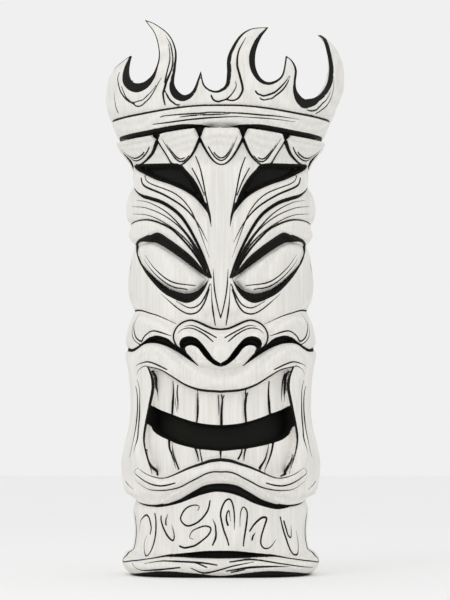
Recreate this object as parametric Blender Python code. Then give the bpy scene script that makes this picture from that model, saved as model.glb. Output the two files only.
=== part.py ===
"""Carved tiki statue, one piece of wood, standing on its own foot.

A squared log is carved as a totem face between a foot rim and a headband, with a
skirt of petals under the band and a crown of curling flames above it. The skin of
the log is worked out flat, in girth g along its reference section and height z,
shaped there by outlines and profiles, and then wrapped round the log.
Lengths are millimetres until the last step. The face looks along -Y, +Z is up, and
the origin is the centre of the underside.
"""
import bmesh
import bpy
import numpy as np
from mathutils import Vector
from mathutils.geometry import delaunay_2d_cdt

NAME = "tiki_statue"
MM = 0.001

# The log's section: a superellipse, a little deeper than a circle at its corners.
REFERENCE = 110.0        # half width at which girth is measured
SQUARENESS = 2.6         # exponent of the superellipse
DEPTH_RATIO = 0.96       # depth of the section over its width

# Heights of the main levels.
NECK_Z = 31.0            # top of the foot rim at the sides
PETAL_TIP_Z = 476.0      # tip of the middle petal
PETAL_SIDE_TIP_Z = 483.0 # and of the petals round the sides and back
PETAL_CORNER_Z = 506.0   # where two petals meet
PETAL_TOP_Z = 520.0
GROOVE_Z = 523.0         # bottom of the groove between petals and headband
BAND_Z = 526.0           # lower edge of the headband
BAND_TOP_Z = 545.0
BOWL_Z = 551.0           # floor inside the flames
FLAME_FOOT_Z = 538.0     # the flames start inside the band
BAND_SAG = (2.5, 9.6, 5.5)              # how far the band hangs: in front, at the front
                                        # corners, and round the sides and back
SAG_END_Z = 556.0        # nothing hangs above this level

FRONT_CORNERS = (-162.0, -74.0, -23.6, 25.2, 75.6, 162.0)      # girths where the front petals meet
PETAL_LEAN = 0.62        # how far out the tip of the petals beside the middle one is; the others'
                         # tips are midway
BACK_PETALS = 4          # equal petals from there to the middle of the back, each side
PETAL_GAP = 4.2          # half width at the top of the gap between two petals
PETAL_GAP_Z = 506.5      # and the foot of that gap

# What stands proud of the log's skin.
MUZZLE_RISE = 8.0
LIP_RISE = 4.5           # the rounded ring round the mouth, on top of the muzzle
LIP_MIDDLE = 11.0        # its distance from the mouth's edge
LIP_WIDTH = 9.0
LOWER_LIP_RISE = 4.0
BROW_RISE = 6.0
LID_RISE = 6.0
BRIDGE_RISE = 7.0        # the nose's bridge, running up into the forehead
BRIDGE_HALF = 12.0       # half width of the bridge between the eyes
BRIDGE_SLOPE = 12.0      # width of the bridge's flanks
POUCH_RISE = 5.0         # the pouch under each cheek line
CHEEK_LINE_DEPTH = 2.5
NOSE_RISE = 15.0
NOSE_TIP_RISE = 9.0
NOSE_TIP = (17.0, 15.0, 256.0)          # spread across and upwards of the tip, and its height
FACE_EDGE = (110.0, 168.0)              # girths over which the face's forms fade into the sides

# Levels cut below the skin.
WALL = 3.5               # run of a recess's side wall
BROW_HOLLOW_DEPTH = 12.0
EYE_DEPTH = 10.0
EYEBALL_DEPTH = 7.0      # at the eyeball's rim
EYEBALL_RISE = 8.0       # from its rim to its middle
CREASE_DEPTH = 6.0
NOSTRIL_LEVEL = 4.0      # above the skin, but far under the nose's face
TEETH_DEPTH = 7.0
TOOTH_ROUNDING = 4.0
GAP_DEPTH = 22.0         # dark gap between the teeth
CHIN_DEPTH = 5.0
NECK_DEPTH = 7.0

FINE_STEP = 3.0          # spacing of the points that distances are measured to
OUTLINE_STEP = 8.0       # spacing of the mesh's points along an outline
FRONT_STEP = 13.0        # spacing of the loose points on the face
BACK_STEP = 25.0         # and round the back
CLOSEST = 3.0            # loose points nearer than this to another are left out
FINE_HALF = 165.0        # girth up to which the front's spacing holds
RING_STOPS = 57          # points round each level line
FLAME_STEP = 6.0         # spacing of the points on the flames' rim
FLAME_FIELD_STEP = 12.0  # and within the flames

# Profiles: (height, half width). The side one is the statue's outline from the front.
FOOT = [(0, 104), (5, 112), (16, 117.5), (26, 113.5), (NECK_Z, 105)]
FRONT_FOOT = [(0, 104), (5, 112), (13, 117.5), (19, 114.5), (24, 105), (NECK_Z, 103.5)]
COLLAR = [(486, 105), (505, 112), (GROOVE_Z, 114), (BAND_Z, 122), (BAND_TOP_Z, 132)]
PETAL_FACE = [(474, 107), (486, 108.5), (493, 111), (502, 117.5), (512, 123.5), (PETAL_TOP_Z, 126)]
SIDE = FOOT + [(52, 102.6), (76, 104.5), (89, 101.5), (96, 113), (106, 116.5), (130, 119.3),
               (150, 116.3), (174, 110), (194, 107.2), (214, 107.8), (242, 111.1), (262, 114.6),
               (268, 111.5), (276, 114.3), (292, 111.6), (313, 104), (327, 109.5), (342, 111.6),
               (378, 108), (392, 103.5), (404, 111), (414, 108), (426, 113.3), (436, 114.6),
               (451, 111.4), (465, 104.5)] + COLLAR
FRONT = FRONT_FOOT + [(52, 102.5), (86, 103.5), (110, 106), (150, 107), (194, 105), (268, 106),
                (414, 104)] + COLLAR
BACK = FOOT + [(52, 102.6), (80, 104), (92, 106), (104, 111), (130, 113), (194, 108), (262, 110),
               (313, 107), (436, 109), (465, 105)] + COLLAR

# Outlines on the log's skin, (girth, height), for one half of the face.
BROW_HOLLOW = [[(150, 487), (91, 482), (53, 479), (43, 472), (31, 458), (22, 441), (13, 416)],
               [(13, 416), (28, 435), (43, 446), (63, 455), (84, 462), (107, 471), (150, 487)]]
BROW_RIDGE = [[(178, 482), (150, 487), (107, 471), (84, 462), (63, 455), (43, 446), (28, 435),
               (15, 414)],
              [(15, 414), (12, 345)],
              [(12, 345), (18, 362), (27, 382), (40, 405), (53, 421), (73, 434), (94, 441),
               (112, 446), (135, 457), (155, 464), (178, 467)]]
LID = [[(178, 405), (165, 415), (141, 417), (98, 416), (67, 406), (49, 392), (32, 373), (14, 346)],
       [(14, 346), (32, 367), (49, 381), (67, 393), (81, 400), (95, 398), (111, 395), (141, 390)],
       [(141, 390), (164, 397), (178, 405)]]
EYE_HOLLOW = [[(141, 390), (111, 395), (95, 398), (81, 400), (67, 393), (49, 381), (32, 367),
               (13, 344)],
              [(13, 344), (21, 329), (30, 320), (41, 316), (55, 320), (72, 329), (92, 345),
               (112, 362), (141, 390)]]
EYEBALL = [[(138, 389), (122, 392), (102, 391), (85, 388), (63, 377), (43, 364), (14, 344)],
           [(14, 344), (20, 338), (29, 331), (42, 328), (57, 331), (73, 337), (93, 349),
            (119, 368), (138, 389)]]
CHEEK_LINE = [(54, 292), (76, 301), (94, 306), (122, 311), (178, 313)]
CREASE_TOP = [(214, 269), (178, 269), (150, 268), (134, 266), (117, 268.5), (103, 272.5), (92, 277),
              (80, 279), (70, 277), (63, 274), (55, 267), (45, 259), (27, 243)]
CREASE_FOOT = [(27, 243), (36, 248.5), (46, 255.5), (54, 260), (64, 265), (76, 269), (88, 270.5),
               (99, 270), (111, 267), (126, 263), (137, 262.5), (150, 264), (178, 266), (214, 268.6)]
NOSTRIL = [[(46, 258), (49, 268), (45, 274), (37, 276.5), (28, 274), (21, 267), (14, 258), (8, 250),
            (0, 245)],
           [(0, 241), (7, 243), (13, 247), (20, 254), (27, 263), (34, 266), (40, 265), (42, 263),
            (40, 258)]]
# Outlines that cross the middle of the face, from the middle and back to it.
NOSE = [[(0, 285), (9, 286), (17, 289), (28, 294), (37, 296), (47, 293), (54, 287), (57, 277),
         (54, 267), (45, 259), (27, 243)],
        [(27, 243), (14, 240), (0, 238)]]
MUZZLE = [[(0, 250), (20, 250), (36, 252), (54, 260), (64, 265), (76, 269), (88, 270.5), (99, 270),
           (111, 267), (126, 263), (137, 262.5), (150, 264), (190, 266)],
          [(190, 96), (171, 98), (140, 90), (112, 84), (87, 82), (67, 85), (49, 91), (31, 100),
           (18, 106), (0, 108)]]
MOUTH = [[(0, 213), (24, 215), (42, 221), (59, 231), (74, 239), (92, 243)],
         [(92, 243), (86, 230), (85, 217), (90, 198), (95, 178), (97, 160), (93, 142), (84, 119)],
         [(84, 119), (74, 114.8), (65, 115), (56, 118), (45, 123), (34, 127.5), (23, 131.3),
          (12, 135), (0, 137)]]
LOWER_LIP = [[(0, 137), (12, 135), (23, 131.3), (34, 127.5), (45, 123), (56, 118), (65, 115),
              (74, 114.8), (84, 119), (100, 126)],
             [(100, 126), (108, 126.5), (113, 124), (115, 118), (112, 112), (102, 106), (90, 101),
              (79, 99.8), (68, 99.8), (57, 101.3), (47, 104), (37, 109), (27, 114), (17, 119),
              (9, 121), (0, 121)]]
NECK_HOLLOW = [[(0, 31), (20, 30.5), (38, 28.8), (56, 27), (72, 24.5)],
               [(72, 23.5), (50, 23.5), (28, 22.5), (0, 22)]]
# Outlines that differ a little from one half of the face to the other.
GAP = [[(-90, 198), (-79, 193.5), (-62, 188), (-44, 182), (-24, 177), (0, 175), (24, 177), (44, 182),
        (62, 188), (79, 193.5), (90, 198)],
       [(90, 198), (95, 178)],
       [(95, 178), (92, 167), (85, 162), (77, 158), (65, 154.5), (50, 151), (33, 148), (15, 146),
        (0, 145), (-24, 147), (-36, 149), (-52, 153), (-65, 158), (-80, 164), (-89, 170), (-95, 178)],
       [(-95, 178), (-90, 198)]]
CHIN_HOLLOW = [[(-98, 82), (-87, 82.5), (-72, 84), (-62, 86), (-49, 90.5), (-31, 100), (-18, 106),
                (0, 108), (18, 106), (31, 100), (49, 90.5), (62, 86), (72, 84), (87, 82.5), (98, 82)],
               [(98, 82), (84, 79), (71, 78), (59, 80), (47, 83), (36, 87), (28, 91), (17, 95),
                (5, 97.5), (-8, 98), (-24, 94.5), (-34, 91), (-48, 86), (-60, 83), (-72, 81),
                (-84, 80.3), (-98, 82)]]
UPPER_TEETH = [[(0, 213), (0, 175)], [(29, 216), (29, 178)], [(60, 231), (60, 187)]]
LOWER_TEETH = [[(0, 145), (0, 137)], [(28, 147), (24, 132)], [(62, 155), (52, 121)]]
TOOTH_LINES = (0.0, 29.0, 60.0, 97.0)      # girth of the lines between teeth at the gap
LOWER_LEAN = 0.006       # the lower teeth draw together downwards, per mm below this height
LOWER_LEAN_Z = 150.0
GAP_MID_Z = 160.0        # upper and lower teeth part here

# Crown of flames: each run goes from one flame's tip to the next, all round the log.
FLAME_RUNS = [
    [(-355, 606), (-345, 590), (-333, 571), (-316, 564), (-299, 570), (-290, 584), (-292, 602)],
    [(-292, 602), (-279, 594), (-268, 575), (-254, 566), (-240, 573), (-234, 588), (-240, 607)],
    [(-240, 607), (-222, 594), (-211, 577), (-202, 573), (-193, 582), (-180, 595), (-160, 600),
     (-135, 602.5), (-118, 605), (-102, 609)],
    [(-102, 609), (-103, 595), (-99, 583), (-92, 575.5), (-83, 573), (-74, 575.5), (-66, 585),
     (-63, 606), (-73, 632), (-92, 652)],
    [(-92, 652), (-74, 644), (-55, 629), (-45, 609), (-44, 588), (-45, 568), (-37, 556),
     (-27, 561), (-19, 583)],
    [(-19, 583), (-15, 566), (-5, 560), (4, 566), (6, 580), (7, 601), (18, 624), (32, 635),
     (52, 638)],
    [(52, 638), (42, 624), (35, 606), (34, 588), (39, 575), (48, 571), (60, 580), (67, 604)],
    [(67, 604), (74, 598), (77.5, 588), (75.5, 573), (78, 563), (87, 556), (97, 557), (108, 561),
     (119, 568.5), (128, 581), (133, 598), (136, 620), (143, 635), (158, 646)],
    [(158, 646), (171, 641), (180, 624), (183, 602), (189, 582), (201, 567), (214, 564),
     (224, 571), (226, 582)],
    [(226, 582), (243, 583), (257, 574), (270, 567), (283, 574), (287, 586), (281, 601)],
    [(281, 601), (295, 592), (304, 573), (318, 564), (334, 571), (343, 588), (355, 606)],
]
# Half width of the flames' outer face: (height, half width) at the front, back and sides.
FLAME_FRONT = [(FLAME_FOOT_Z, 120), (BAND_TOP_Z, 128.5), (575, 133), (600, 130), (630, 122),
               (665, 112)]
FLAME_BACK = [(FLAME_FOOT_Z, 120), (BAND_TOP_Z, 128.5), (570, 133), (605, 127)]
FLAME_LEFT = [(FLAME_FOOT_Z, 120), (BAND_TOP_Z, 130), (554, 136.8), (570, 139.2), (585, 137.9),
              (600, 132.9), (612, 124.6), (620, 115.2)]
FLAME_RIGHT = [(FLAME_FOOT_Z, 120), (BAND_TOP_Z, 130), (550, 135.5), (561, 141), (585, 149.1),
               (598, 149.6), (612, 147.8), (626, 142.3), (638, 133.1), (649, 119.6)]
FLAME_THICKNESS = [(FLAME_FOOT_Z, 24), (575, 17), (600, 13), (650, 8)]
RUNS_HALF_GIRTH = 355.0  # girth at the middle of the back in the runs above
BOWL_SHARE = 0.88        # the bowl's floor over the section at the band's top
FLAME_EDGE = 5.0         # thickness at the flames' rim
FLAME_ROUNDING = 12.0    # how far from the rim the full thickness is reached
FLAME_DIP = 1.5          # how far the outer face turns in at the rim

# ---------------------------------------------------------------- the log's section
angles = np.linspace(0.0, np.pi / 2, 2001)
SECTION_X = np.sin(angles) ** (2 / SQUARENESS)
SECTION_Y = DEPTH_RATIO * np.cos(angles) ** (2 / SQUARENESS)
SECTION_GIRTH = REFERENCE * np.concatenate(
    [[0.0], np.cumsum(np.hypot(np.diff(SECTION_X), np.diff(SECTION_Y)))])
QUARTER = SECTION_GIRTH[-1]
HALF_GIRTH = 2 * QUARTER                   # from the middle of the face to the middle of the back


def section(girth):
    """Unit section at a girth: x, y for a half width of one."""
    along = np.abs(girth)
    folded = np.where(along <= QUARTER, along, HALF_GIRTH - along)
    x = np.interp(folded, SECTION_GIRTH, SECTION_X)
    y = np.interp(folded, SECTION_GIRTH, SECTION_Y)
    return np.sign(girth) * x, np.where(along <= QUARTER, -y, y)


def ramp(value, start, end):
    """Smooth step from 0 at start to 1 at end."""
    t = np.clip((value - start) / (end - start), 0.0, 1.0)
    return t * t * (3 - 2 * t)


def read(profile, z):
    return np.interp(z, *zip(*profile))


def half_width(girth, z):
    """Half width of the log at a height, blended from front to side to back."""
    along = np.abs(girth)
    side = ramp(along, 105, 170)
    back = ramp(along, 185, 300)
    front = read(FRONT, z) * (1 - side) + read(SIDE, z) * side
    return front * (1 - back) + read(BACK, z) * back


# ---------------------------------------------------------------- curves and outlines
def curve(points, step):
    """Catmull-Rom curve through the points, sampled about every step."""
    points = np.array(points, float)
    ends = np.vstack([2 * points[0] - points[1], points, 2 * points[-1] - points[-2]])
    samples = []
    for before, start, end, after in zip(ends, ends[1:], ends[2:], ends[3:]):
        count = max(1, int(round(np.hypot(*(end - start)) / step)))
        t = (np.arange(count) / count)[:, None]
        samples.append(0.5 * (2 * start + (end - before) * t
                              + (2 * before - 5 * start + 4 * end - after) * t ** 2
                              + (3 * start - before - 3 * end + after) * t ** 3))
    return np.vstack(samples + [points[-1:]])


def outline(runs, step, across=False):
    """Closed outline of several runs; across mirrors it over the middle of the face."""
    loop = [curve(run, step) for run in runs]
    if across:
        loop += [run[::-1] * (-1, 1) for run in reversed(loop)]
    joined = [loop[0]]
    for run in loop[1:]:
        joined.append(run[1:] if np.allclose(run[0], joined[-1][-1], atol=0.01) else run)
    joined = np.vstack(joined)
    return joined[:-1] if np.allclose(joined[0], joined[-1], atol=0.01) else joined


def distance(points, path, closed=True):
    """Distance of points from a path; inside a closed one it is negative."""
    starts = path if closed else path[:-1]
    ends = np.roll(path, -1, axis=0) if closed else path[1:]
    best = np.full(len(points), 1e9)
    inside = np.zeros(len(points), bool)
    for start, end in zip(starts, ends):
        run = end - start
        t = np.clip(((points - start) @ run) / max(run @ run, 1e-12), 0, 1)
        gap = points - start - t[:, None] * run
        best = np.minimum(best, np.hypot(gap[:, 0], gap[:, 1]))
        if closed and start[1] != end[1]:
            crosses = (start[1] > points[:, 1]) != (end[1] > points[:, 1])
            at = start[0] + (points[:, 1] - start[1]) * run[0] / run[1]
            inside ^= crosses & (points[:, 0] < at)
    return np.where(inside, -best, best)


def inward(depth_in, run):
    """0 outside an outline, rising to 1 a run inside it."""
    return ramp(-depth_in, 0.0, run)


def roll(depth_in, run):
    """Like inward, but rounded as the edge of a cushion."""
    t = np.clip(-depth_in / run, 0.0, 1.0)
    return np.sqrt(1 - (1 - t) ** 2)


HALF_SHAPES = {
    "brow_hollow": BROW_HOLLOW, "brow_ridge": BROW_RIDGE, "lid": LID, "eye_hollow": EYE_HOLLOW,
    "eyeball": EYEBALL, "crease": [CREASE_TOP, CREASE_FOOT], "nostril": NOSTRIL}
WHOLE_SHAPES = {
    "nose": NOSE, "muzzle": MUZZLE, "mouth": MOUTH, "lower_lip": LOWER_LIP,
    "neck_hollow": NECK_HOLLOW}
UNEVEN_SHAPES = {"gap": GAP, "chin_hollow": CHIN_HOLLOW}
SHAPES = {name: outline(runs, FINE_STEP) for name, runs in HALF_SHAPES.items()}
SHAPES.update({name: outline(runs, FINE_STEP, across=True) for name, runs in WHOLE_SHAPES.items()})
SHAPES.update({name: outline(runs, FINE_STEP) for name, runs in UNEVEN_SHAPES.items()})


def tooth_crown(along, z):
    """1 in the middle of a tooth, 0 on the lines between teeth."""
    along = along * np.where(z < GAP_MID_Z, 1 + (LOWER_LEAN_Z - z) * LOWER_LEAN, 1)
    crown = np.zeros_like(along)
    for left, right in zip(TOOTH_LINES, TOOTH_LINES[1:]):
        t = np.clip((along - left) / (right - left), 0, 1)
        crown = np.maximum(crown, 1 - np.abs(2 * t - 1) ** 5)
    return crown


def relief(girth, z):
    """Height of the carving over the log's skin."""
    along = np.abs(girth)
    halved = np.column_stack([along, z])
    whole = np.column_stack([girth, z])
    deep = {name: distance(whole if name in UNEVEN_SHAPES else halved, path)
            for name, path in SHAPES.items()}
    front = 1 - ramp(along, *FACE_EDGE)

    high = MUZZLE_RISE * front * roll(deep["muzzle"], 14)
    lip = np.exp(-((deep["mouth"] - LIP_MIDDLE) / LIP_WIDTH) ** 2)
    high += LIP_RISE * front * lip * inward(deep["muzzle"], 8)
    high += LOWER_LIP_RISE * roll(deep["lower_lip"], 8)
    high += BROW_RISE * front * roll(deep["brow_ridge"], 10)
    high += LID_RISE * front * roll(deep["lid"], 9)
    bridge = BRIDGE_HALF + 20 * ramp(z, 425, 480) + 6 * ramp(-z, -340, -300)
    flank = ramp(along, bridge, bridge + BRIDGE_SLOPE)
    high += BRIDGE_RISE * (1 - flank) * ramp(z, 280, 320) * ramp(-z, -500, -470)
    pouch_top = np.interp(along, *zip(*CHEEK_LINE))
    pouch = ramp(pouch_top - z, 0, 18) * ramp(z, 262, 280)
    cheek_line = np.exp(-((z - pouch_top) / 4) ** 2) * ramp(along, 48, 66)
    high += front * (POUCH_RISE * pouch - CHEEK_LINE_DEPTH * cheek_line)
    across, upwards, tip_z = NOSE_TIP
    tip = np.exp(-(along / across) ** 2 - ((z - tip_z) / upwards) ** 2)
    high += inward(deep["nose"], 3) * (NOSE_RISE * roll(deep["nose"], 15) + NOSE_TIP_RISE * tip)

    def sink(level, name, run=WALL):
        share = inward(deep[name], run)
        return high * (1 - share) + level * share

    high = sink(-BROW_HOLLOW_DEPTH, "brow_hollow", 6)
    high = sink(-EYE_DEPTH, "eye_hollow", 5)
    high = sink(EYEBALL_RISE * roll(deep["eyeball"], 22) - EYEBALL_DEPTH, "eyeball")
    high = sink(-CREASE_DEPTH, "crease")
    high = sink(NOSTRIL_LEVEL, "nostril")
    high = sink(TOOTH_ROUNDING * tooth_crown(along, z) - TEETH_DEPTH, "mouth", 4)
    high = sink(-GAP_DEPTH, "gap")
    high = sink(-CHIN_DEPTH, "chin_hollow")
    high = sink(-NECK_DEPTH, "neck_hollow")
    return high + petal_relief(girth, z)


def petal_spans():
    """Start, tip and end of each petal, all round the log from the middle of the back."""
    back = np.linspace(FRONT_CORNERS[-1], HALF_GIRTH, BACK_PETALS + 1)[1:]
    corners = np.concatenate([-back[::-1], FRONT_CORNERS, back])
    starts, ends = corners[:-1], corners[1:]
    shares = np.full(len(starts), 0.5)
    middle_one = len(starts) // 2
    shares[middle_one - 1] = 1 - PETAL_LEAN
    shares[middle_one + 1] = PETAL_LEAN
    return starts, starts + (ends - starts) * shares, ends


def petal_tip(girth):
    """Lower edge of the petals there, and how far it is to the corner of the petal."""
    starts, middles, ends = petal_spans()
    place = np.clip(np.searchsorted(starts, girth) - 1, 0, len(starts) - 1)
    start, middle, end = starts[place], middles[place], ends[place]
    reach = np.where(girth < middle, middle - start, end - middle)
    tip = PETAL_TIP_Z + (PETAL_SIDE_TIP_Z - PETAL_TIP_Z) * ramp(np.abs(girth), 70, 100)
    edge = tip + (PETAL_CORNER_Z - tip) * ((girth - middle) / reach) ** 2
    return edge, np.minimum(girth - start, end - girth)


def petal_relief(girth, z):
    """Petals stand on the collar under the band, flaring outwards to their tops."""
    edge, to_corner = petal_tip(girth)
    gap = PETAL_GAP * (z - PETAL_GAP_Z) / (PETAL_TOP_Z - PETAL_GAP_Z)
    lift = np.maximum(read(PETAL_FACE, z) - half_width(girth, z), 0)
    on_petal = ramp(z, edge - 0.5, edge + 3.5) * (1 - ramp(z, PETAL_TOP_Z, GROOVE_Z))
    return lift * on_petal * ramp(to_corner, gap - 0.5, gap + 1.5)


# ---------------------------------------------------------------- meshing
def thin_out(groups, closest):
    """Keeps the points of the first groups and drops later ones that lie too close."""
    cells = {}
    kept = []
    for points, spacing in groups:
        for point in points:
            cell = (int(point[0] // closest), int(point[1] // closest))
            near = [other for dx in (-1, 0, 1) for dy in (-1, 0, 1)
                    for other in cells.get((cell[0] + dx, cell[1] + dy), ())]
            if any((point[0] - x) ** 2 + (point[1] - y) ** 2 < spacing ** 2 for x, y in near):
                continue
            cells.setdefault(cell, []).append((point[0], point[1]))
            kept.append(point)
    return kept


def triangulate(paths, loose):
    """Constrained Delaunay triangles of a flat sheet."""
    points, edges = [], []
    for path, closed in paths:
        first = len(points)
        points += [Vector(point) for point in path]
        edges += [(first + i, first + i + 1) for i in range(len(path) - 1)]
        if closed:
            edges.append((len(points) - 1, first))
    points += [Vector(point) for point in loose]
    flat, _, faces, _, _, _ = delaunay_2d_cdt(points, edges, [], 0, 0.05, True)
    return np.array([tuple(point) for point in flat]), [tuple(face) for face in faces]


def add_mesh(name, points, faces):
    mesh = bpy.data.meshes.new(name)
    mesh.from_pydata([tuple(point) for point in points], [], [tuple(face) for face in faces])
    return mesh


def settle(girth, z):
    """Height on the finished log: the band hangs down, most at its front corners."""
    along = np.abs(girth)
    front, corner, side = BAND_SAG
    sag = front + (corner - front) * ramp(along, 10, 95) + (side - corner) * ramp(along, 110, 170)
    return z - sag * np.interp(z, (PETAL_CORNER_Z, PETAL_TOP_Z, BAND_TOP_Z, SAG_END_Z), (0, 1, 1, 0))


def wrap(girth, z, width, lift):
    """Point in space of a place on the skin, lifted off it along the carver's cut."""
    x, y = section(girth)
    ahead, behind = section(girth + 1.0), section(girth - 1.0)
    normal = np.column_stack([-(ahead[1] - behind[1]), ahead[0] - behind[0]])
    normal *= np.sign(normal[:, :1] * x[:, None] + normal[:, 1:] * y[:, None])
    sideways = 0.35 + 0.65 * ramp(np.abs(girth), 90, 170)
    normal[:, 0] *= sideways
    normal /= np.hypot(normal[:, 0], normal[:, 1])[:, None]
    return np.column_stack([x * width + normal[:, 0] * lift, y * width + normal[:, 1] * lift,
                            settle(girth, z)])


def both_sides(path):
    return [path, path * (-1, 1)]


def offset(path, amount, closed=True):
    """Points beside a path, at a distance to its left."""
    ahead = np.roll(path, -1, axis=0) if closed else np.vstack([path[1:], path[-1:]])
    behind = np.roll(path, 1, axis=0) if closed else np.vstack([path[:1], path[:-1]])
    run = ahead - behind
    run /= np.maximum(np.hypot(run[:, 0], run[:, 1]), 1e-9)[:, None]
    return path + amount * np.column_stack([-run[:, 1], run[:, 0]])


def beside_path(path, amount, closed=True):
    """Points inside a closed path, at a distance from it."""
    points = np.vstack([offset(path, -amount, closed), offset(path, amount, closed)])
    return points[distance(points, path) < -0.7 * amount]


def grid(g_range, z_range, step):
    g = np.arange(g_range[0] + step / 2, g_range[1], step)
    z = np.arange(z_range[0] + step / 2, z_range[1], step)
    return np.array(np.meshgrid(g, z)).reshape(2, -1).T


def ring_levels():
    """Lines that run all round the log: the foot rim, the petals' tops and the band."""
    girth = np.linspace(-HALF_GIRTH, HALF_GIRTH, RING_STOPS)
    levels = [0, 5, 16, 26, NECK_Z, PETAL_TOP_Z, GROOVE_Z, BAND_Z, BAND_TOP_Z]
    return [np.column_stack([girth, np.full_like(girth, level)]) for level in levels]


def petal_edges():
    """The scalloped edge of the petals, the brow of that edge, and the gaps at their tops."""
    starts, _, ends = petal_spans()
    girth = np.concatenate([np.linspace(start, end, 8, endpoint=False)
                            for start, end in zip(starts, ends)] + [[HALF_GIRTH]])
    edge, _ = petal_tip(girth)
    paths = [np.column_stack([girth, edge + rise]) for rise in (-0.5, 3.5)]
    for corner in starts[1:]:
        paths.append(np.array([(corner - PETAL_GAP, PETAL_TOP_Z), (corner, PETAL_GAP_Z),
                               (corner + PETAL_GAP, PETAL_TOP_Z)]))
    return paths


def skin_points():
    """Paths and loose points of the log's skin, laid flat."""
    paths = [(path, False) for path in ring_levels() + petal_edges()]
    sides = np.linspace(NECK_Z, PETAL_TOP_Z, 19)[1:-1]
    for border in (-HALF_GIRTH, HALF_GIRTH):
        paths.append((np.column_stack([np.full_like(sides, border), sides]), False))
    beside = []
    for runs in HALF_SHAPES.values():
        path = outline(runs, OUTLINE_STEP)
        paths += [(side, True) for side in both_sides(path)]
        beside += both_sides(beside_path(path, WALL))
    whole = [outline(runs, OUTLINE_STEP, across=True) for runs in WHOLE_SHAPES.values()]
    uneven = [outline(runs, OUTLINE_STEP) for runs in UNEVEN_SHAPES.values()]
    for path in whole + uneven:
        paths.append((path, True))
        beside.append(beside_path(path, WALL))
    for line in UPPER_TEETH + LOWER_TEETH:
        path = curve(line, OUTLINE_STEP)
        paths += [(side, False) for side in both_sides(path)[:1 if line[0][0] == 0 else 2]]
        next_to = np.vstack([offset(path, -5, False), offset(path, 5, False)])
        beside += both_sides(next_to)
    fixed = np.vstack([path for path, _ in paths])
    front = grid((-FINE_HALF, FINE_HALF), (NECK_Z, PETAL_TIP_Z), FRONT_STEP)
    nose = grid((-60, 60), (238, 300), 7.0)
    back = grid((FINE_HALF, 2 * HALF_GIRTH - FINE_HALF), (NECK_Z, PETAL_TOP_Z), BACK_STEP)
    back[:, 0] = np.where(back[:, 0] > HALF_GIRTH, back[:, 0] - 2 * HALF_GIRTH, back[:, 0])
    back = back[np.abs(np.abs(back[:, 0]) - HALF_GIRTH) > BACK_STEP / 3]
    kept = thin_out([(fixed, 0.0), (np.vstack(beside), CLOSEST), (nose, 5.0), (front, 8.0),
                     (back, 13.0)], 13.0)
    return paths, kept[len(fixed):]


def log_mesh():
    paths, loose = skin_points()
    flat, faces = triangulate(paths, loose)
    girth, z = flat[:, 0], flat[:, 1]
    width = half_width(girth, z)
    points = wrap(girth, z, width, relief(girth, z)) * MM
    log = bmesh.new()
    log.from_mesh(add_mesh("skin", points, faces))
    bmesh.ops.remove_doubles(log, verts=log.verts, dist=1e-5)
    top = [edge for edge in log.edges if edge.is_boundary
           and min(v.co.z for v in edge.verts) > BAND_Z * MM]
    grown = bmesh.ops.extrude_edge_only(log, edges=top)["geom"]
    for vertex in (item for item in grown if isinstance(item, bmesh.types.BMVert)):
        vertex.co = (vertex.co.x * BOWL_SHARE, vertex.co.y * BOWL_SHARE, BOWL_Z * MM)
    bmesh.ops.holes_fill(log, edges=[edge for edge in log.edges if edge.is_boundary])
    return log


def flame_width(girth, z):
    """Half width of the flames' outer face."""
    along = np.abs(girth)
    flank = np.where(girth < 0, read(FLAME_LEFT, z), read(FLAME_RIGHT, z))
    side = ramp(along, 95, 170)
    back = ramp(along, 185, 250)
    front = read(FLAME_FRONT, z) * (1 - side) + flank * side
    return front * (1 - back) + read(FLAME_BACK, z) * back


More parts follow.
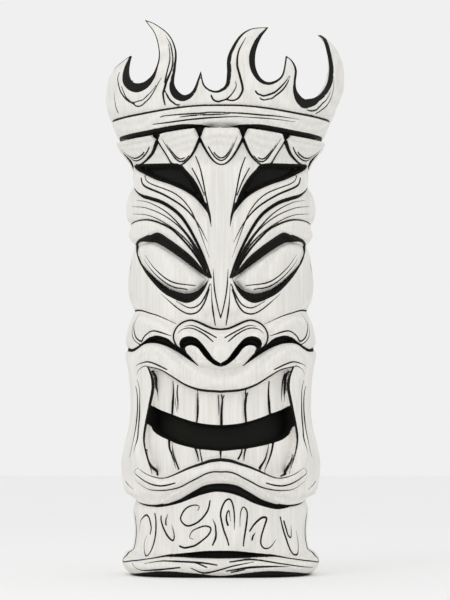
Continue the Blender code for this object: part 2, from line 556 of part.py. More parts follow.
def flame_mesh():
    """The crown: a sheet cut to the flames' outline, thickened and bent round the log."""
    rim = outline_of_flames(FLAME_STEP)
    around = np.linspace(HALF_GIRTH, -HALF_GIRTH, RING_STOPS)[1:-1]
    foot = np.column_stack([around, np.full_like(around, FLAME_FOOT_Z)])
    seam = [np.array([[border, z] for z in (585.0, 565.0, 550.0, FLAME_FOOT_Z)])
            for border in (HALF_GIRTH, -HALF_GIRTH)]
    loop = np.vstack([rim, seam[0], foot, seam[1][::-1]])
    inner = np.vstack([offset(rim, -7, False), offset(rim, 7, False)])
    field = grid((-HALF_GIRTH, HALF_GIRTH), (FLAME_FOOT_Z, rim[:, 1].max()), FLAME_FIELD_STEP)
    loose = np.array(thin_out([(loop, 0.0), (inner[distance(inner, loop) < -5], 6.0),
                               (field, 9.0)], FLAME_FIELD_STEP)[len(loop):])
    loose = loose[distance(loose, loop) < -4]
    flat, faces = triangulate([(loop, True)], loose)
    middles = np.array([flat[list(face)].mean(axis=0) for face in faces])
    faces = [face for face, gap in zip(faces, distance(middles, loop)) if gap < 0]
    girth, z = flat[:, 0], flat[:, 1]
    from_rim = np.min([distance(flat + (turn * 2 * HALF_GIRTH, 0), rim, closed=False)
                       for turn in (-1, 0, 1)], axis=0)
    rounded = np.sin(np.clip(from_rim / FLAME_ROUNDING, 0, 1) * np.pi / 2)
    thick = FLAME_EDGE + (read(FLAME_THICKNESS, z) - FLAME_EDGE) * rounded
    lift = FLAME_DIP * (rounded - 1)
    width = flame_width(girth, z)
    outer = wrap(girth, z, width, lift)
    inner = wrap(girth, z, width, lift - thick)
    count = len(flat)
    sides = [(a, b) for face in faces for a, b in zip(face, face[1:] + face[:1])]
    single = [(a, b) for a, b in sides if (b, a) not in set(sides)]
    sheet = [tuple(face) for face in faces]
    sheet += [tuple(count + i for i in face[::-1]) for face in faces]
    on_seam = np.abs(np.abs(girth) - HALF_GIRTH) < 0.01
    sheet += [(b, a, a + count, b + count) for a, b in single if not (on_seam[a] and on_seam[b])]
    flames = bmesh.new()
    flames.from_mesh(add_mesh("flames", np.vstack([outer, inner]) * MM, sheet))
    bmesh.ops.remove_doubles(flames, verts=flames.verts, dist=1e-5)
    return flames


def outline_of_flames(step):
    runs = [curve(run, step) for run in FLAME_RUNS]
    rim = np.vstack([run[:-1] for run in runs] + [runs[-1][-1:]])
    rim[:, 0] *= HALF_GIRTH / RUNS_HALF_GIRTH
    return rim


def finish(shape, name, collection):
    bmesh.ops.triangulate(shape, faces=shape.faces)
    bmesh.ops.recalc_face_normals(shape, faces=shape.faces)
    mesh = bpy.data.meshes.new(name)
    shape.to_mesh(mesh)
    shape.free()
    item = bpy.data.objects.new(name, mesh)
    collection.objects.link(item)
    return item


def main():
    for item in list(bpy.data.objects):
        bpy.data.objects.remove(item)
    parts = bpy.data.collections.new(NAME)
    cutters = bpy.data.collections.new("cutters")
    for collection in (parts, cutters):
        bpy.context.scene.collection.children.link(collection)
    cutters.hide_render = True
    statue = finish(log_mesh(), NAME, parts)
    flames = finish(flame_mesh(), "flame_crown", cutters)
    flames.display_type = "WIRE"
    flames.hide_render = True
    join = statue.modifiers.new("flames", "BOOLEAN")
    join.operation = "UNION"
    join.object = flames
    wood = bpy.data.materials.new("carved_wood")
    wood.use_nodes = True
    shader = wood.node_tree.nodes["Principled BSDF"]
    shader.inputs["Base Color"].default_value = (0.72, 0.66, 0.55, 1.0)
    shader.inputs["Roughness"].default_value = 0.6
    shader.inputs["Metallic"].default_value = 0.0
    statue.data.materials.append(wood)


main()
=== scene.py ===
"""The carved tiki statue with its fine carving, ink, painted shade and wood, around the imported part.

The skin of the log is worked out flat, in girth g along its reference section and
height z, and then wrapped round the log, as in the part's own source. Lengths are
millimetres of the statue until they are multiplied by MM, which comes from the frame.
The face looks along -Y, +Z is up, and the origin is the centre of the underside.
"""

import math

import bmesh
import bpy
import numpy as np
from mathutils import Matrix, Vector, kdtree
from mathutils.geometry import delaunay_2d_cdt


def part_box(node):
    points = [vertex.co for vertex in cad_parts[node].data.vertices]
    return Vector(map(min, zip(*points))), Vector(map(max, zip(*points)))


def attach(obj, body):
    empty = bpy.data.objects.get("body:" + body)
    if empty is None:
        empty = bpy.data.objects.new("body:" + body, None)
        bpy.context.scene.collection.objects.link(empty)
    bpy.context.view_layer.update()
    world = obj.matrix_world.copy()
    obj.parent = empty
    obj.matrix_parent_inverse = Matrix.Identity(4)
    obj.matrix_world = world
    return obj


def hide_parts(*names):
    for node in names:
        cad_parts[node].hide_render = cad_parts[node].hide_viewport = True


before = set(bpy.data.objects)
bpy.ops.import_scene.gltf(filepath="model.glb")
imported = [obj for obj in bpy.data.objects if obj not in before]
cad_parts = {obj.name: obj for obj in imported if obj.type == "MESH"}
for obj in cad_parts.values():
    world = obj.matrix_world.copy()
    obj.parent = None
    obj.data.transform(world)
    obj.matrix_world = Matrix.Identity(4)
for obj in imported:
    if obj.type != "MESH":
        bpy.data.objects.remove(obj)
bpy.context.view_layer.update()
BOX_LOW, BOX_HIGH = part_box("tiki_statue")

HEIGHT = 652.0
MM = (BOX_HIGH.z - BOX_LOW.z) / HEIGHT

# The log's section: a superellipse, a little deeper than a circle at its corners.
REFERENCE = 110.0  # half width at which girth is measured
SQUARENESS = 2.6  # exponent of the superellipse
DEPTH_RATIO = 0.96  # depth of the section over its width

# Girths over which one profile gives way to the next.
FRONT_TO_SIDE = (105, 170)
SIDE_TO_BACK = (185, 300)
FLAMES_TO_SIDE = (95, 170)
FLAMES_TO_BACK = (185, 250)
LIFT_TO_SIDE = (90, 170)
FACE_SPREAD = 0.35  # share of a lift's sideways part that the face keeps

# Heights of the main levels.
NECK_Z = 31.0  # top of the foot rim at the sides
PETAL_TIP_Z = 476.0  # tip of the middle petal
PETAL_SIDE_TIP_Z = 483.0 # and of the petals round the sides and back
PETAL_CORNER_Z = 506.0  # where two petals meet
PETAL_TOP_Z = 520.0
GROOVE_Z = 523.0  # bottom of the groove between petals and headband
BAND_Z = 526.0  # lower edge of the headband
BAND_TOP_Z = 545.0
CROWN_Z = BAND_TOP_Z + 0.8  # the flames start on top of the band
BOWL_Z = 551.0  # floor inside the flames
# How far the band hangs: in front, at the front corners, and round the sides and back.
BAND_SAG = (2.5, 9.6, 5.5)
SAG_END_Z = 556.0  # nothing hangs above this level
SAG_TO_CORNER = (10, 95)  # girths from the middle to the front corners
SAG_TO_SIDE = (110, 170)  # and from there to the sides

FRONT_CORNERS = (-162.0, -74.0, -23.6, 25.2, 75.6, 162.0)  # girths where front petals meet
# How far out the tip of the petals beside the middle one is. The others' tips are midway.
PETAL_LEAN = 0.62
BACK_PETALS = 4  # equal petals from there to the middle of the back, each side
PETAL_GAP = 4.2  # half width at the top of the gap between two petals
PETAL_GAP_Z = 506.5  # and the foot of that gap
PETAL_RISE = (70, 100)  # girths over which the tips rise from the middle petal's to the others'
# The two lines inside a petal: inset, how much later it starts, its end, and its outer room.
PETAL_LINES = ((5.2, 0.0, 1.06, 1.4), (8.2, 0.25, 0.9, 1.1))

# What stands proud of the log's skin.
MUZZLE_RISE = 8.0
LIP_RISE = 4.5  # the rounded ring round the mouth, on top of the muzzle
LIP_MIDDLE = 11.0  # its distance from the mouth's edge
LIP_WIDTH = 9.0
LOWER_LIP_RISE = 4.0
BROW_RISE = 6.0
LID_RISE = 6.0
BRIDGE_RISE = 7.0  # the nose's bridge, running up into the forehead
BRIDGE_HALF = 12.0  # half width of the bridge between the eyes
BRIDGE_SLOPE = 12.0  # width of the bridge's flanks
POUCH_RISE = 5.0  # the pouch under each cheek line
CHEEK_LINE_DEPTH = 2.5
NOSE_RISE = 15.0
NOSE_TIP_RISE = 9.0
NOSE_TIP = (17.0, 15.0, 256.0)  # spread across and upwards of the tip, and its height
FACE_EDGE = (110.0, 168.0)  # girths over which the face's forms fade into the sides
BRIDGE_TOP = (20.0, 425, 480)  # how much wider the bridge gets, between which heights
BRIDGE_FOOT = (6.0, 300, 340)  # and how much wider it is at its lower end
BRIDGE_ENDS = (280, 320, 470, 500)  # heights where it rises out of the nose and fades out
POUCH = (18.0, 262, 280)  # run of the pouch's top, and heights where it fades out
CHEEK_LINE_WIDTH = 4.0  # the groove over the pouch, and girths over which it starts
CHEEK_LINE_START = (48, 66)
# How far inside its outline each raised form is fully up.
ROUNDING = {"muzzle": 14, "lower_lip": 8, "brow_ridge": 10, "lid": 9, "nose": 15, "eyeball": 22}
LIP_RUN = 8.0  # run inside the muzzle's outline over which the lips start
NOSE_RUN = 3.0  # run of the nose's side walls

# Levels cut below the skin.
WALL = 3.5  # run of a recess's side wall
SLACK_WALLS = {"brow_hollow": 6, "eye_hollow": 5, "mouth": 4}  # and of the slacker ones
BROW_HOLLOW_DEPTH = 12.0
EYE_DEPTH = 10.0
EYEBALL_DEPTH = 7.0  # at the eyeball's rim
EYEBALL_RISE = 8.0  # from its rim to its middle
CREASE_DEPTH = 6.0
NOSTRIL_LEVEL = 4.0  # above the skin, but far under the nose's face
TEETH_DEPTH = 7.0
TOOTH_ROUNDING = 4.0
GAP_DEPTH = 22.0  # dark gap between the teeth
CHIN_DEPTH = 5.0
NECK_DEPTH = 7.0

# The fine carving.
SHOULDER = 0.8  # how far a groove's lip is outside its ink
GROOVE_DEPTH = (0.3, 0.8)  # of a cut line: the least, and more per half its width
GOUGE = (40.0, 13.0, 0.55)  # length, width and depth of the gouge marks
GOUGE_STAGGER = (12.9898, 43.758)  # shifts each column of marks by an uneven amount
GOUGE_BARE = 0.25  # share of their depth that is left on the face
GOUGE_TO_SIDE = (150, 195)
GOUGE_TOP = (470, 484)  # heights over which they end under the petals
RIM_INK = 0.9  # width of the inked edge of the flames
FAR = 20.0  # value of the ink and painted shade where none is near
REACH = 45.0  # forms further off than this don't change a point

# The mesh.
FINE_STEP = 3.0  # spacing of the points that distances are measured to
LINE_STEP = 1.8  # spacing of the points along a cut line
EDGE_STEP = 2.2  # and along the outline of a form
FACE_STEP = 2.5  # and of the loose points on the face
SIDE_STEP = 4.2  # and round the back
FLAME_STEP = 3.2  # and on the flames
ROW_SHARE = 0.87  # distance of staggered rows over the spacing in a row
FACE_HALF = 172  # girth where the face's points give way to the back's
LOOP_CLEAR = 0.01  # room that points keep to those before them: the sheet's edge,
LINE_CLEAR = 0.6  # the cut lines,
FORM_CLEAR = 0.8  # the forms,
FACE_CLEAR = 1.3  # and the loose points
SIDE_CLEAR = 2.2
FLAME_CLEAR = 1.8
EDGE_CLEAR = 0.6  # room to the edge of the outer sheet
INNER_CLEAR = 0.8  # and of the inner one
DISC_RINGS = 14
BOWL_DISH = 1.5  # how far the bowl's floor sinks to its middle
MERGE = 0.02  # points closer than this are one
SHARP_ANGLE = 48  # degrees over which an edge is drawn sharp
ENDLESS = 1e9  # more than any distance here, also squared
TINY = 1e-12  # keeps a division by a run of no length from failing

# The look, the light and the camera, in metres and degrees.
WOOD_STOPS = ((0.3, (0.78, 0.755, 0.70, 1)), (0.7, (0.90, 0.885, 0.85, 1)))
RING_STRENGTH = 0.07  # how much the year rings darken the wood
# Black of the ink lines; the same black is painted as shade in the hollows, under the band and foot rim,
# and in the flames' valleys.
INK_AND_SHADE_COLOUR = (0.006, 0.006, 0.005, 1)
INK_AND_SHADE_WOBBLE = 0.5  # unevenness of the edge of the ink and painted shade, mm
INK_AND_SHADE_EDGE = (0.1, 0.4)  # values over which the black of the ink and painted shade ends
ROUGHNESS = (0.62, 0.78)
FLOOR_COLOUR = (0.96, 0.96, 0.96, 1)
SKY_STRENGTH = 0.87
# Name, place, power and size of each lamp.
LAMPS = (("key", (-1.3, -2.2, 1.9), 11, 1.5), ("fill", (1.5, -2.3, 0.7), 3, 2.0))
LAMP_AIM = (0, 0, 0.33)
CAMERA_PLACE = (0.005, -2.6, 0.12)
CAMERA_TILT = 94.56
CAMERA_LENS = 130.0

# Profiles: (height, half width). The side one is the statue's outline from the front.
FOOT = [(0, 104), (5, 112), (16, 117.5), (26, 113.5), (NECK_Z, 105)]
FRONT_FOOT = [(0, 104), (5, 112), (13, 117.5), (19, 114.5), (24, 105), (NECK_Z, 103.5)]
COLLAR = [(486, 105), (505, 112), (GROOVE_Z, 114), (BAND_Z, 122), (BAND_TOP_Z, 132)]
PETAL_FACE = [(474, 107), (486, 108.5), (493, 111), (502, 117.5), (512, 123.5), (PETAL_TOP_Z, 126)]
SIDE = FOOT + [(52, 102.6), (76, 104.5), (89, 101.5), (96, 113), (106, 116.5), (130, 119.3),
               (150, 116.3), (174, 110), (194, 107.2), (214, 107.8), (242, 111.1), (262, 114.6),
               (268, 111.5), (276, 114.3), (292, 111.6), (313, 104), (327, 109.5), (342, 111.6),
               (378, 108), (392, 103.5), (404, 111), (414, 108), (426, 113.3), (436, 114.6),
               (451, 111.4), (465, 104.5)] + COLLAR
FRONT = FRONT_FOOT + [(52, 102.5), (86, 103.5), (110, 106), (150, 107), (194, 105), (268, 106),
                      (414, 104)] + COLLAR
BACK = FOOT + [(52, 102.6), (80, 104), (92, 106), (104, 111), (130, 113), (194, 108), (262, 110),
               (313, 107), (436, 109), (465, 105)] + COLLAR

def both_halves(half):
    """A run over the middle of the face, from its right half, which starts in the middle."""
    return [(-girth, z) for girth, z in half[:0:-1]] + half


# Edges that two outlines share, (girth, height).
BROW_EDGE = [(28, 435), (43, 446), (63, 455), (84, 462), (107, 471), (150, 487)]
LID_EDGE = [(32, 367), (49, 381), (67, 393), (81, 400), (95, 398), (111, 395), (141, 390)]
CHEEK_EDGE = [(54, 260), (64, 265), (76, 269), (88, 270.5), (99, 270), (111, 267), (126, 263),
              (137, 262.5), (150, 264)]
LIP_EDGE = [(0, 137), (12, 135), (23, 131.3), (34, 127.5), (45, 123), (56, 118), (65, 115),
            (74, 114.8), (84, 119)]

# Outlines on the log's skin, (girth, height), for one half of the face.
BROW_HOLLOW = [[(150, 487), (91, 482), (53, 479), (43, 472), (31, 458), (22, 441), (13, 416)],
               [(13, 416)] + BROW_EDGE]
BROW_RIDGE = [[(178, 482)] + BROW_EDGE[::-1] + [(15, 414)],
              [(15, 414), (12, 345)],
              [(12, 345), (18, 362), (27, 382), (40, 405), (53, 421), (73, 434), (94, 441),
               (112, 446), (135, 457), (155, 464), (178, 467)]]
LID = [[(178, 405), (165, 415), (141, 417), (98, 416), (67, 406), (49, 392), (32, 373), (14, 346)],
       [(14, 346)] + LID_EDGE,
       [(141, 390), (164, 397), (178, 405)]]
EYE_HOLLOW = [LID_EDGE[::-1] + [(13, 344)],
              [(13, 344), (21, 329), (30, 320), (41, 316), (55, 320), (72, 329), (92, 345),
               (112, 362), (141, 390)]]
EYEBALL = [[(138, 389), (122, 392), (102, 391), (85, 388), (63, 377), (43, 364), (14, 344)],
           [(14, 344), (20, 338), (29, 331), (42, 328), (57, 331), (73, 337), (93, 349),
            (119, 368), (138, 389)]]
CHEEK_LINE = [(54, 292), (76, 301), (94, 306), (122, 311), (178, 313)]
CREASE_TOP = [(214, 269), (178, 269), (150, 268), (134, 266), (117, 268.5), (103, 272.5), (92, 277),
              (80, 279), (70, 277), (63, 274), (55, 267), (45, 259), (27, 243)]
CREASE_FOOT = [(27, 243), (36, 248.5), (46, 255.5)] + CHEEK_EDGE + [(178, 266), (214, 268.6)]
NOSTRIL = [[(46, 258), (49, 268), (45, 274), (37, 276.5), (28, 274), (21, 267), (14, 258), (8, 250),
            (0, 245)],
           [(0, 241), (7, 243), (13, 247), (20, 254), (27, 263), (34, 266), (40, 265), (42, 263),
            (40, 258)]]
# Outlines that cross the middle of the face, from the middle and back to it.
NOSE = [[(0, 285), (9, 286), (17, 289), (28, 294), (37, 296), (47, 293), (54, 287), (57, 277),
         (54, 267), (45, 259), (27, 243)],
        [(27, 243), (14, 240), (0, 238)]]
MUZZLE = [[(0, 250), (20, 250), (36, 252)] + CHEEK_EDGE + [(190, 266)],
          [(190, 96), (171, 98), (140, 90), (112, 84), (87, 82), (67, 85), (49, 91), (31, 100),
           (18, 106), (0, 108)]]
MOUTH = [[(0, 213), (24, 215), (42, 221), (59, 231), (74, 239), (92, 243)],
         [(92, 243), (86, 230), (85, 217), (90, 198), (95, 178), (97, 160), (93, 142), (84, 119)],
         LIP_EDGE[::-1]]
LOWER_LIP = [LIP_EDGE + [(100, 126)],
             [(100, 126), (108, 126.5), (113, 124), (115, 118), (112, 112), (102, 106), (90, 101),
              (79, 99.8), (68, 99.8), (57, 101.3), (47, 104), (37, 109), (27, 114), (17, 119),
              (9, 121), (0, 121)]]
NECK_HOLLOW = [[(0, 31), (20, 30.5), (38, 28.8), (56, 27), (72, 24.5)],
               [(72, 23.5), (50, 23.5), (28, 22.5), (0, 22)]]
# Outlines that differ a little from one half of the face to the other.
GAP = [both_halves([(0, 175), (24, 177), (44, 182), (62, 188), (79, 193.5), (90, 198)]),
       [(90, 198), (95, 178)],
       [(95, 178), (92, 167), (85, 162), (77, 158), (65, 154.5), (50, 151), (33, 148), (15, 146),
        (0, 145), (-24, 147), (-36, 149), (-52, 153), (-65, 158), (-80, 164), (-89, 170), (-95, 178)],
       [(-95, 178), (-90, 198)]]
CHIN_HOLLOW = [both_halves([(0, 108), (18, 106), (31, 100), (49, 90.5), (62, 86), (72, 84),
                            (87, 82.5), (98, 82)]),
               [(98, 82), (84, 79), (71, 78), (59, 80), (47, 83), (36, 87), (28, 91), (17, 95),
                (5, 97.5), (-8, 98), (-24, 94.5), (-34, 91), (-48, 86), (-60, 83), (-72, 81),
                (-84, 80.3), (-98, 82)]]
TOOTH_LINES = (0.0, 29.0, 60.0, 97.0)  # girth of the lines between teeth at the gap
LOWER_LEAN = 0.006  # the lower teeth draw together downwards, per mm under LOWER_LEAN_Z
LOWER_LEAN_Z = 150.0
GAP_MID_Z = 160.0

# Crown of flames: each run goes from one flame's tip to the next, all round the log.
FLAME_RUNS = [
    [(-355, 606), (-345, 590), (-333, 571), (-316, 564), (-299, 570), (-290, 584), (-292, 602)],
    [(-292, 602), (-279, 594), (-268, 575), (-254, 566), (-240, 573), (-234, 588), (-240, 607)],
    [(-240, 607), (-222, 594), (-211, 577), (-202, 573), (-193, 582), (-180, 595), (-160, 600),
     (-135, 602.5), (-118, 605), (-102, 609)],
    [(-102, 609), (-103, 595), (-99, 583), (-92, 575.5), (-83, 573), (-74, 575.5), (-66, 585),
     (-63, 606), (-73, 632), (-92, 652)],
    [(-92, 652), (-74, 644), (-55, 629), (-45, 609), (-44, 588), (-45, 568), (-37, 556),
     (-27, 561), (-19, 583)],
    [(-19, 583), (-15, 566), (-5, 560), (4, 566), (6, 580), (7, 601), (18, 624), (32, 635),
     (52, 638)],
    [(52, 638), (42, 624), (35, 606), (34, 588), (39, 575), (48, 571), (60, 580), (67, 604)],
    [(67, 604), (74, 598), (77.5, 588), (75.5, 573), (78, 563), (87, 556), (97, 557), (108, 561),
     (119, 568.5), (128, 581), (133, 598), (136, 620), (143, 635), (158, 646)],
    [(158, 646), (171, 641), (180, 624), (183, 602), (189, 582), (201, 567), (214, 564),
     (224, 571), (226, 582)],
    [(226, 582), (243, 583), (257, 574), (270, 567), (283, 574), (287, 586), (281, 601)],
    [(281, 601), (295, 592), (304, 573), (318, 564), (334, 571), (343, 588), (355, 606)],
]
RUNS_HALF_GIRTH = 355.0
# Half width of the flames' outer face: (height, half width) at the front, back and sides.
FLAME_FRONT = [(BAND_TOP_Z, 128.5), (575, 133), (600, 130), (630, 122), (665, 112)]
FLAME_BACK = [(BAND_TOP_Z, 128.5), (570, 133), (605, 127)]
FLAME_LEFT = [(BAND_TOP_Z, 130), (554, 136.8), (570, 139.2), (585, 137.9), (600, 132.9),
              (612, 124.6), (620, 115.2)]
FLAME_RIGHT = [(BAND_TOP_Z, 130), (550, 135.5), (561, 141), (585, 149.1), (598, 149.6),
               (612, 147.8), (626, 142.3), (638, 133.1), (649, 119.6)]
FLAME_THICKNESS = [(BAND_TOP_Z, 22.7), (575, 17), (600, 13), (650, 8)]
FLAME_EDGE = 4.0  # thickness at the flames' rim
FLAME_ROUNDING = 12.0  # how far from the rim the full thickness is reached
FLAME_DIP = 1.5  # how far the outer face turns in at the rim

# ---------------------------------------------------------------- the log's section
angles = np.linspace(0.0, np.pi / 2, 2001)
SECTION_X = np.sin(angles) ** (2 / SQUARENESS)
SECTION_Y = DEPTH_RATIO * np.cos(angles) ** (2 / SQUARENESS)
SECTION_GIRTH = REFERENCE * np.concatenate(
    [[0.0], np.cumsum(np.hypot(np.diff(SECTION_X), np.diff(SECTION_Y)))])
QUARTER = SECTION_GIRTH[-1]
HALF_GIRTH = 2 * QUARTER  # from the middle of the face to the middle of the back


def section(girth):
    """Unit section at a girth: x, y for a half width of one."""
    along = np.abs(girth)
    folded = np.where(along <= QUARTER, along, HALF_GIRTH - along)
    x = np.interp(folded, SECTION_GIRTH, SECTION_X)
    y = np.interp(folded, SECTION_GIRTH, SECTION_Y)
    return np.sign(girth) * x, np.where(along <= QUARTER, -y, y)


def ramp(value, start, end):
    """Smooth step from 0 at start to 1 at end."""
    t = np.clip((value - start) / (end - start), 0.0, 1.0)
    return t * t * (3 - 2 * t)


def read(profile, z):
    """Half width from a profile, as a smooth curve that doesn't swing past its points."""
    heights, widths = np.array(profile, float).T
    steps = np.diff(heights)
    slopes = np.diff(widths) / steps
    before, after = slopes[:-1], slopes[1:]
    total = np.where(before + after == 0, 1.0, before + after)
    tangents = np.concatenate([slopes[:1], np.where(before * after > 0, 2 * before * after / total, 0.0),
                               slopes[-1:]])
    z = np.clip(z, heights[0], heights[-1])
    i = np.clip(np.searchsorted(heights, z, side="right") - 1, 0, len(steps) - 1)
    t = (z - heights[i]) / steps[i]
    bend = t * t * (3 - 2 * t)
    return (widths[i] * (1 - bend) + widths[i + 1] * bend
            + steps[i] * (tangents[i] * t * (1 - t) ** 2 - tangents[i + 1] * t * t * (1 - t)))


def half_width(girth, z):
    """Half width of the log at a height, blended from front to side to back."""
    along = np.abs(girth)
    side = ramp(along, *FRONT_TO_SIDE)
    back = ramp(along, *SIDE_TO_BACK)
    front = read(FRONT, z) * (1 - side) + read(SIDE, z) * side
    return front * (1 - back) + read(BACK, z) * back


def flame_width(girth, z):
    """Half width of the flames' outer face."""
    along = np.abs(girth)
    flank = np.where(girth < 0, read(FLAME_LEFT, z), read(FLAME_RIGHT, z))
    side = ramp(along, *FLAMES_TO_SIDE)
    back = ramp(along, *FLAMES_TO_BACK)
    front = read(FLAME_FRONT, z) * (1 - side) + flank * side
    return front * (1 - back) + read(FLAME_BACK, z) * back


def settle(girth, z):
    """Height on the finished log: the band hangs down, most at its front corners."""
    along = np.abs(girth)
    front, corner, side = BAND_SAG
    sag = (front + (corner - front) * ramp(along, *SAG_TO_CORNER)
           + (side - corner) * ramp(along, *SAG_TO_SIDE))
    return z - sag * np.interp(z, (PETAL_CORNER_Z, PETAL_TOP_Z, BAND_TOP_Z, SAG_END_Z), (0, 1, 1, 0))


def wrap(girth, z, width, lift):
    """Point in space of a place on the skin, lifted off it along the carver's cut."""
    x, y = section(girth)
    ahead, behind = section(girth + 1.0), section(girth - 1.0)
    normal = np.column_stack([-(ahead[1] - behind[1]), ahead[0] - behind[0]])
    normal *= np.sign(normal[:, :1] * x[:, None] + normal[:, 1:] * y[:, None])
    normal[:, 0] *= FACE_SPREAD + (1 - FACE_SPREAD) * ramp(np.abs(girth), *LIFT_TO_SIDE)
    normal /= np.hypot(normal[:, 0], normal[:, 1])[:, None]
    return np.column_stack([x * width + normal[:, 0] * lift, y * width + normal[:, 1] * lift, z])


# ---------------------------------------------------------------- curves and outlines
def level(girth, z):
    """A row of points at one height."""
    return np.column_stack([girth, np.full_like(girth, z)])


def curve(points, step):
    """Catmull-Rom curve through the points, sampled about every step."""
    points = np.array(points, float)
    ends = np.vstack([2 * points[0] - points[1], points, 2 * points[-1] - points[-2]])
    samples = []
    for before, start, end, after in zip(ends, ends[1:], ends[2:], ends[3:]):
        count = max(1, int(round(np.hypot(*(end - start)) / step)))
        t = (np.arange(count) / count)[:, None]
        samples.append(0.5 * (2 * start + (end - before) * t
                              + (2 * before - 5 * start + 4 * end - after) * t ** 2
                              + (3 * start - before - 3 * end + after) * t ** 3))
    return np.vstack(samples + [points[-1:]])


def outline(runs, step, across=False):
    """Closed outline of several runs; across mirrors it over the middle of the face."""
    loop = [curve(run, step) for run in runs]
    if across:
        loop += [run[::-1] * (-1, 1) for run in reversed(loop)]
    joined = [loop[0]]
    for run in loop[1:]:
        joined.append(run[1:] if np.allclose(run[0], joined[-1][-1], atol=0.01) else run)
    joined = np.vstack(joined)
    return joined[:-1] if np.allclose(joined[0], joined[-1], atol=0.01) else joined


def stretch(path, start=0.0, end=1.0, step=LINE_STEP):
    """Part of a path, between two shares of its length, evenly sampled."""
    path = np.asarray(path, float)
    run = np.concatenate([[0.0], np.cumsum(np.hypot(*np.diff(path, axis=0).T))])
    count = max(3, int((end - start) * run[-1] / step) + 2)
    at = np.linspace(start, end, count) * run[-1]
    return np.column_stack([np.interp(at, run, path[:, 0]), np.interp(at, run, path[:, 1])])


def beside(path, amount):
    """Points beside a path, at a distance to its left."""
    run = np.vstack([path[1:], path[-1:]]) - np.vstack([path[:1], path[:-1]])
    run /= np.maximum(np.hypot(run[:, 0], run[:, 1]), 1e-9)[:, None]
    return path + np.reshape(amount, (-1, 1)) * np.column_stack([-run[:, 1], run[:, 0]])


def distance(points, path, closed=True):
    """Distance of points from a path; inside a closed one it is negative."""
    starts = path if closed else path[:-1]
    ends = np.roll(path, -1, axis=0) if closed else path[1:]
    best = np.full(len(points), ENDLESS)
    inside = np.zeros(len(points), bool)
    for start, end in zip(starts, ends):
        run = end - start
        t = np.clip(((points - start) @ run) / max(run @ run, TINY), 0, 1)
        gap = points - start - t[:, None] * run
        best = np.minimum(best, gap[:, 0] ** 2 + gap[:, 1] ** 2)
        if closed and start[1] != end[1]:
            crosses = (start[1] > points[:, 1]) != (end[1] > points[:, 1])
            at = start[0] + (points[:, 1] - start[1]) * run[0] / run[1]
            inside ^= crosses & (points[:, 0] < at)
    return np.where(inside, -1, 1) * np.sqrt(best)


def close_to(points, path, reach):
    """Which points lie in the box round a path, widened by a reach."""
    return np.all((points > path.min(0) - reach) & (points < path.max(0) + reach), axis=1)


def inward(depth_in, run):
    """0 outside an outline, rising to 1 a run inside it."""
    return ramp(-depth_in, 0.0, run)


def roll(depth_in, run):
    """Like inward, but rounded as the edge of a cushion."""
    t = np.clip(-depth_in / run, 0.0, 1.0)
    return np.sqrt(1 - (1 - t) ** 2)


HALF_SHAPES = {
    "brow_hollow": BROW_HOLLOW, "brow_ridge": BROW_RIDGE, "lid": LID, "eye_hollow": EYE_HOLLOW,
    "eyeball": EYEBALL, "crease": [CREASE_TOP, CREASE_FOOT], "nostril": NOSTRIL}
WHOLE_SHAPES = {
    "nose": NOSE, "muzzle": MUZZLE, "mouth": MOUTH, "lower_lip": LOWER_LIP,
    "neck_hollow": NECK_HOLLOW}
UNEVEN_SHAPES = {"gap": GAP, "chin_hollow": CHIN_HOLLOW}
SHAPES = {name: outline(runs, FINE_STEP, across=name in WHOLE_SHAPES)
          for name, runs in {**HALF_SHAPES, **WHOLE_SHAPES, **UNEVEN_SHAPES}.items()}


def depths(points):
    """Distance of points inside each outline."""
    halved = np.column_stack([np.abs(points[:, 0]), points[:, 1]])
    deep = {}
    for name, path in SHAPES.items():
        placed = points if name in UNEVEN_SHAPES else halved
        deep[name] = np.full(len(points), REACH)
        near = close_to(placed, path, REACH)
        deep[name][near] = distance(placed[near], path)
    return deep


# ---------------------------------------------------------------- the forms
def tooth_crown(along, z):
    """1 in the middle of a tooth, 0 on the lines between teeth."""
    along = along * np.where(z < GAP_MID_Z, 1 + (LOWER_LEAN_Z - z) * LOWER_LEAN, 1)
    crown = np.zeros_like(along)
    for left, right in zip(TOOTH_LINES, TOOTH_LINES[1:]):
        t = np.clip((along - left) / (right - left), 0, 1)
        crown = np.maximum(crown, 1 - np.abs(2 * t - 1) ** 5)
    return crown


def petal_spans():
    """Start, tip and end of each petal, all round the log from the middle of the back."""
    back = np.linspace(FRONT_CORNERS[-1], HALF_GIRTH, BACK_PETALS + 1)[1:]
    corners = np.concatenate([-back[::-1], FRONT_CORNERS, back])
    starts, ends = corners[:-1], corners[1:]
    shares = np.full(len(starts), 0.5)
    middle_one = len(starts) // 2
    shares[middle_one - 1] = 1 - PETAL_LEAN
    shares[middle_one + 1] = PETAL_LEAN
    return starts, starts + (ends - starts) * shares, ends


def petal_tip_z(girth):
    """Height of a petal's tip there."""
    return PETAL_TIP_Z + (PETAL_SIDE_TIP_Z - PETAL_TIP_Z) * ramp(np.abs(girth), *PETAL_RISE)


def petal_tip(girth):
    """Lower edge of the petals there, and how far it is to the corner of the petal."""
    starts, middles, ends = petal_spans()
    place = np.clip(np.searchsorted(starts, girth) - 1, 0, len(starts) - 1)
    start, middle, end = starts[place], middles[place], ends[place]
    reach = np.where(girth < middle, middle - start, end - middle)
    tip = petal_tip_z(girth)
    edge = tip + (PETAL_CORNER_Z - tip) * ((girth - middle) / reach) ** 2
    return edge, np.minimum(girth - start, end - girth)


def petal_gap(z):
    """Half width of the gap between two petals."""
    return PETAL_GAP * (z - PETAL_GAP_Z) / (PETAL_TOP_Z - PETAL_GAP_Z)


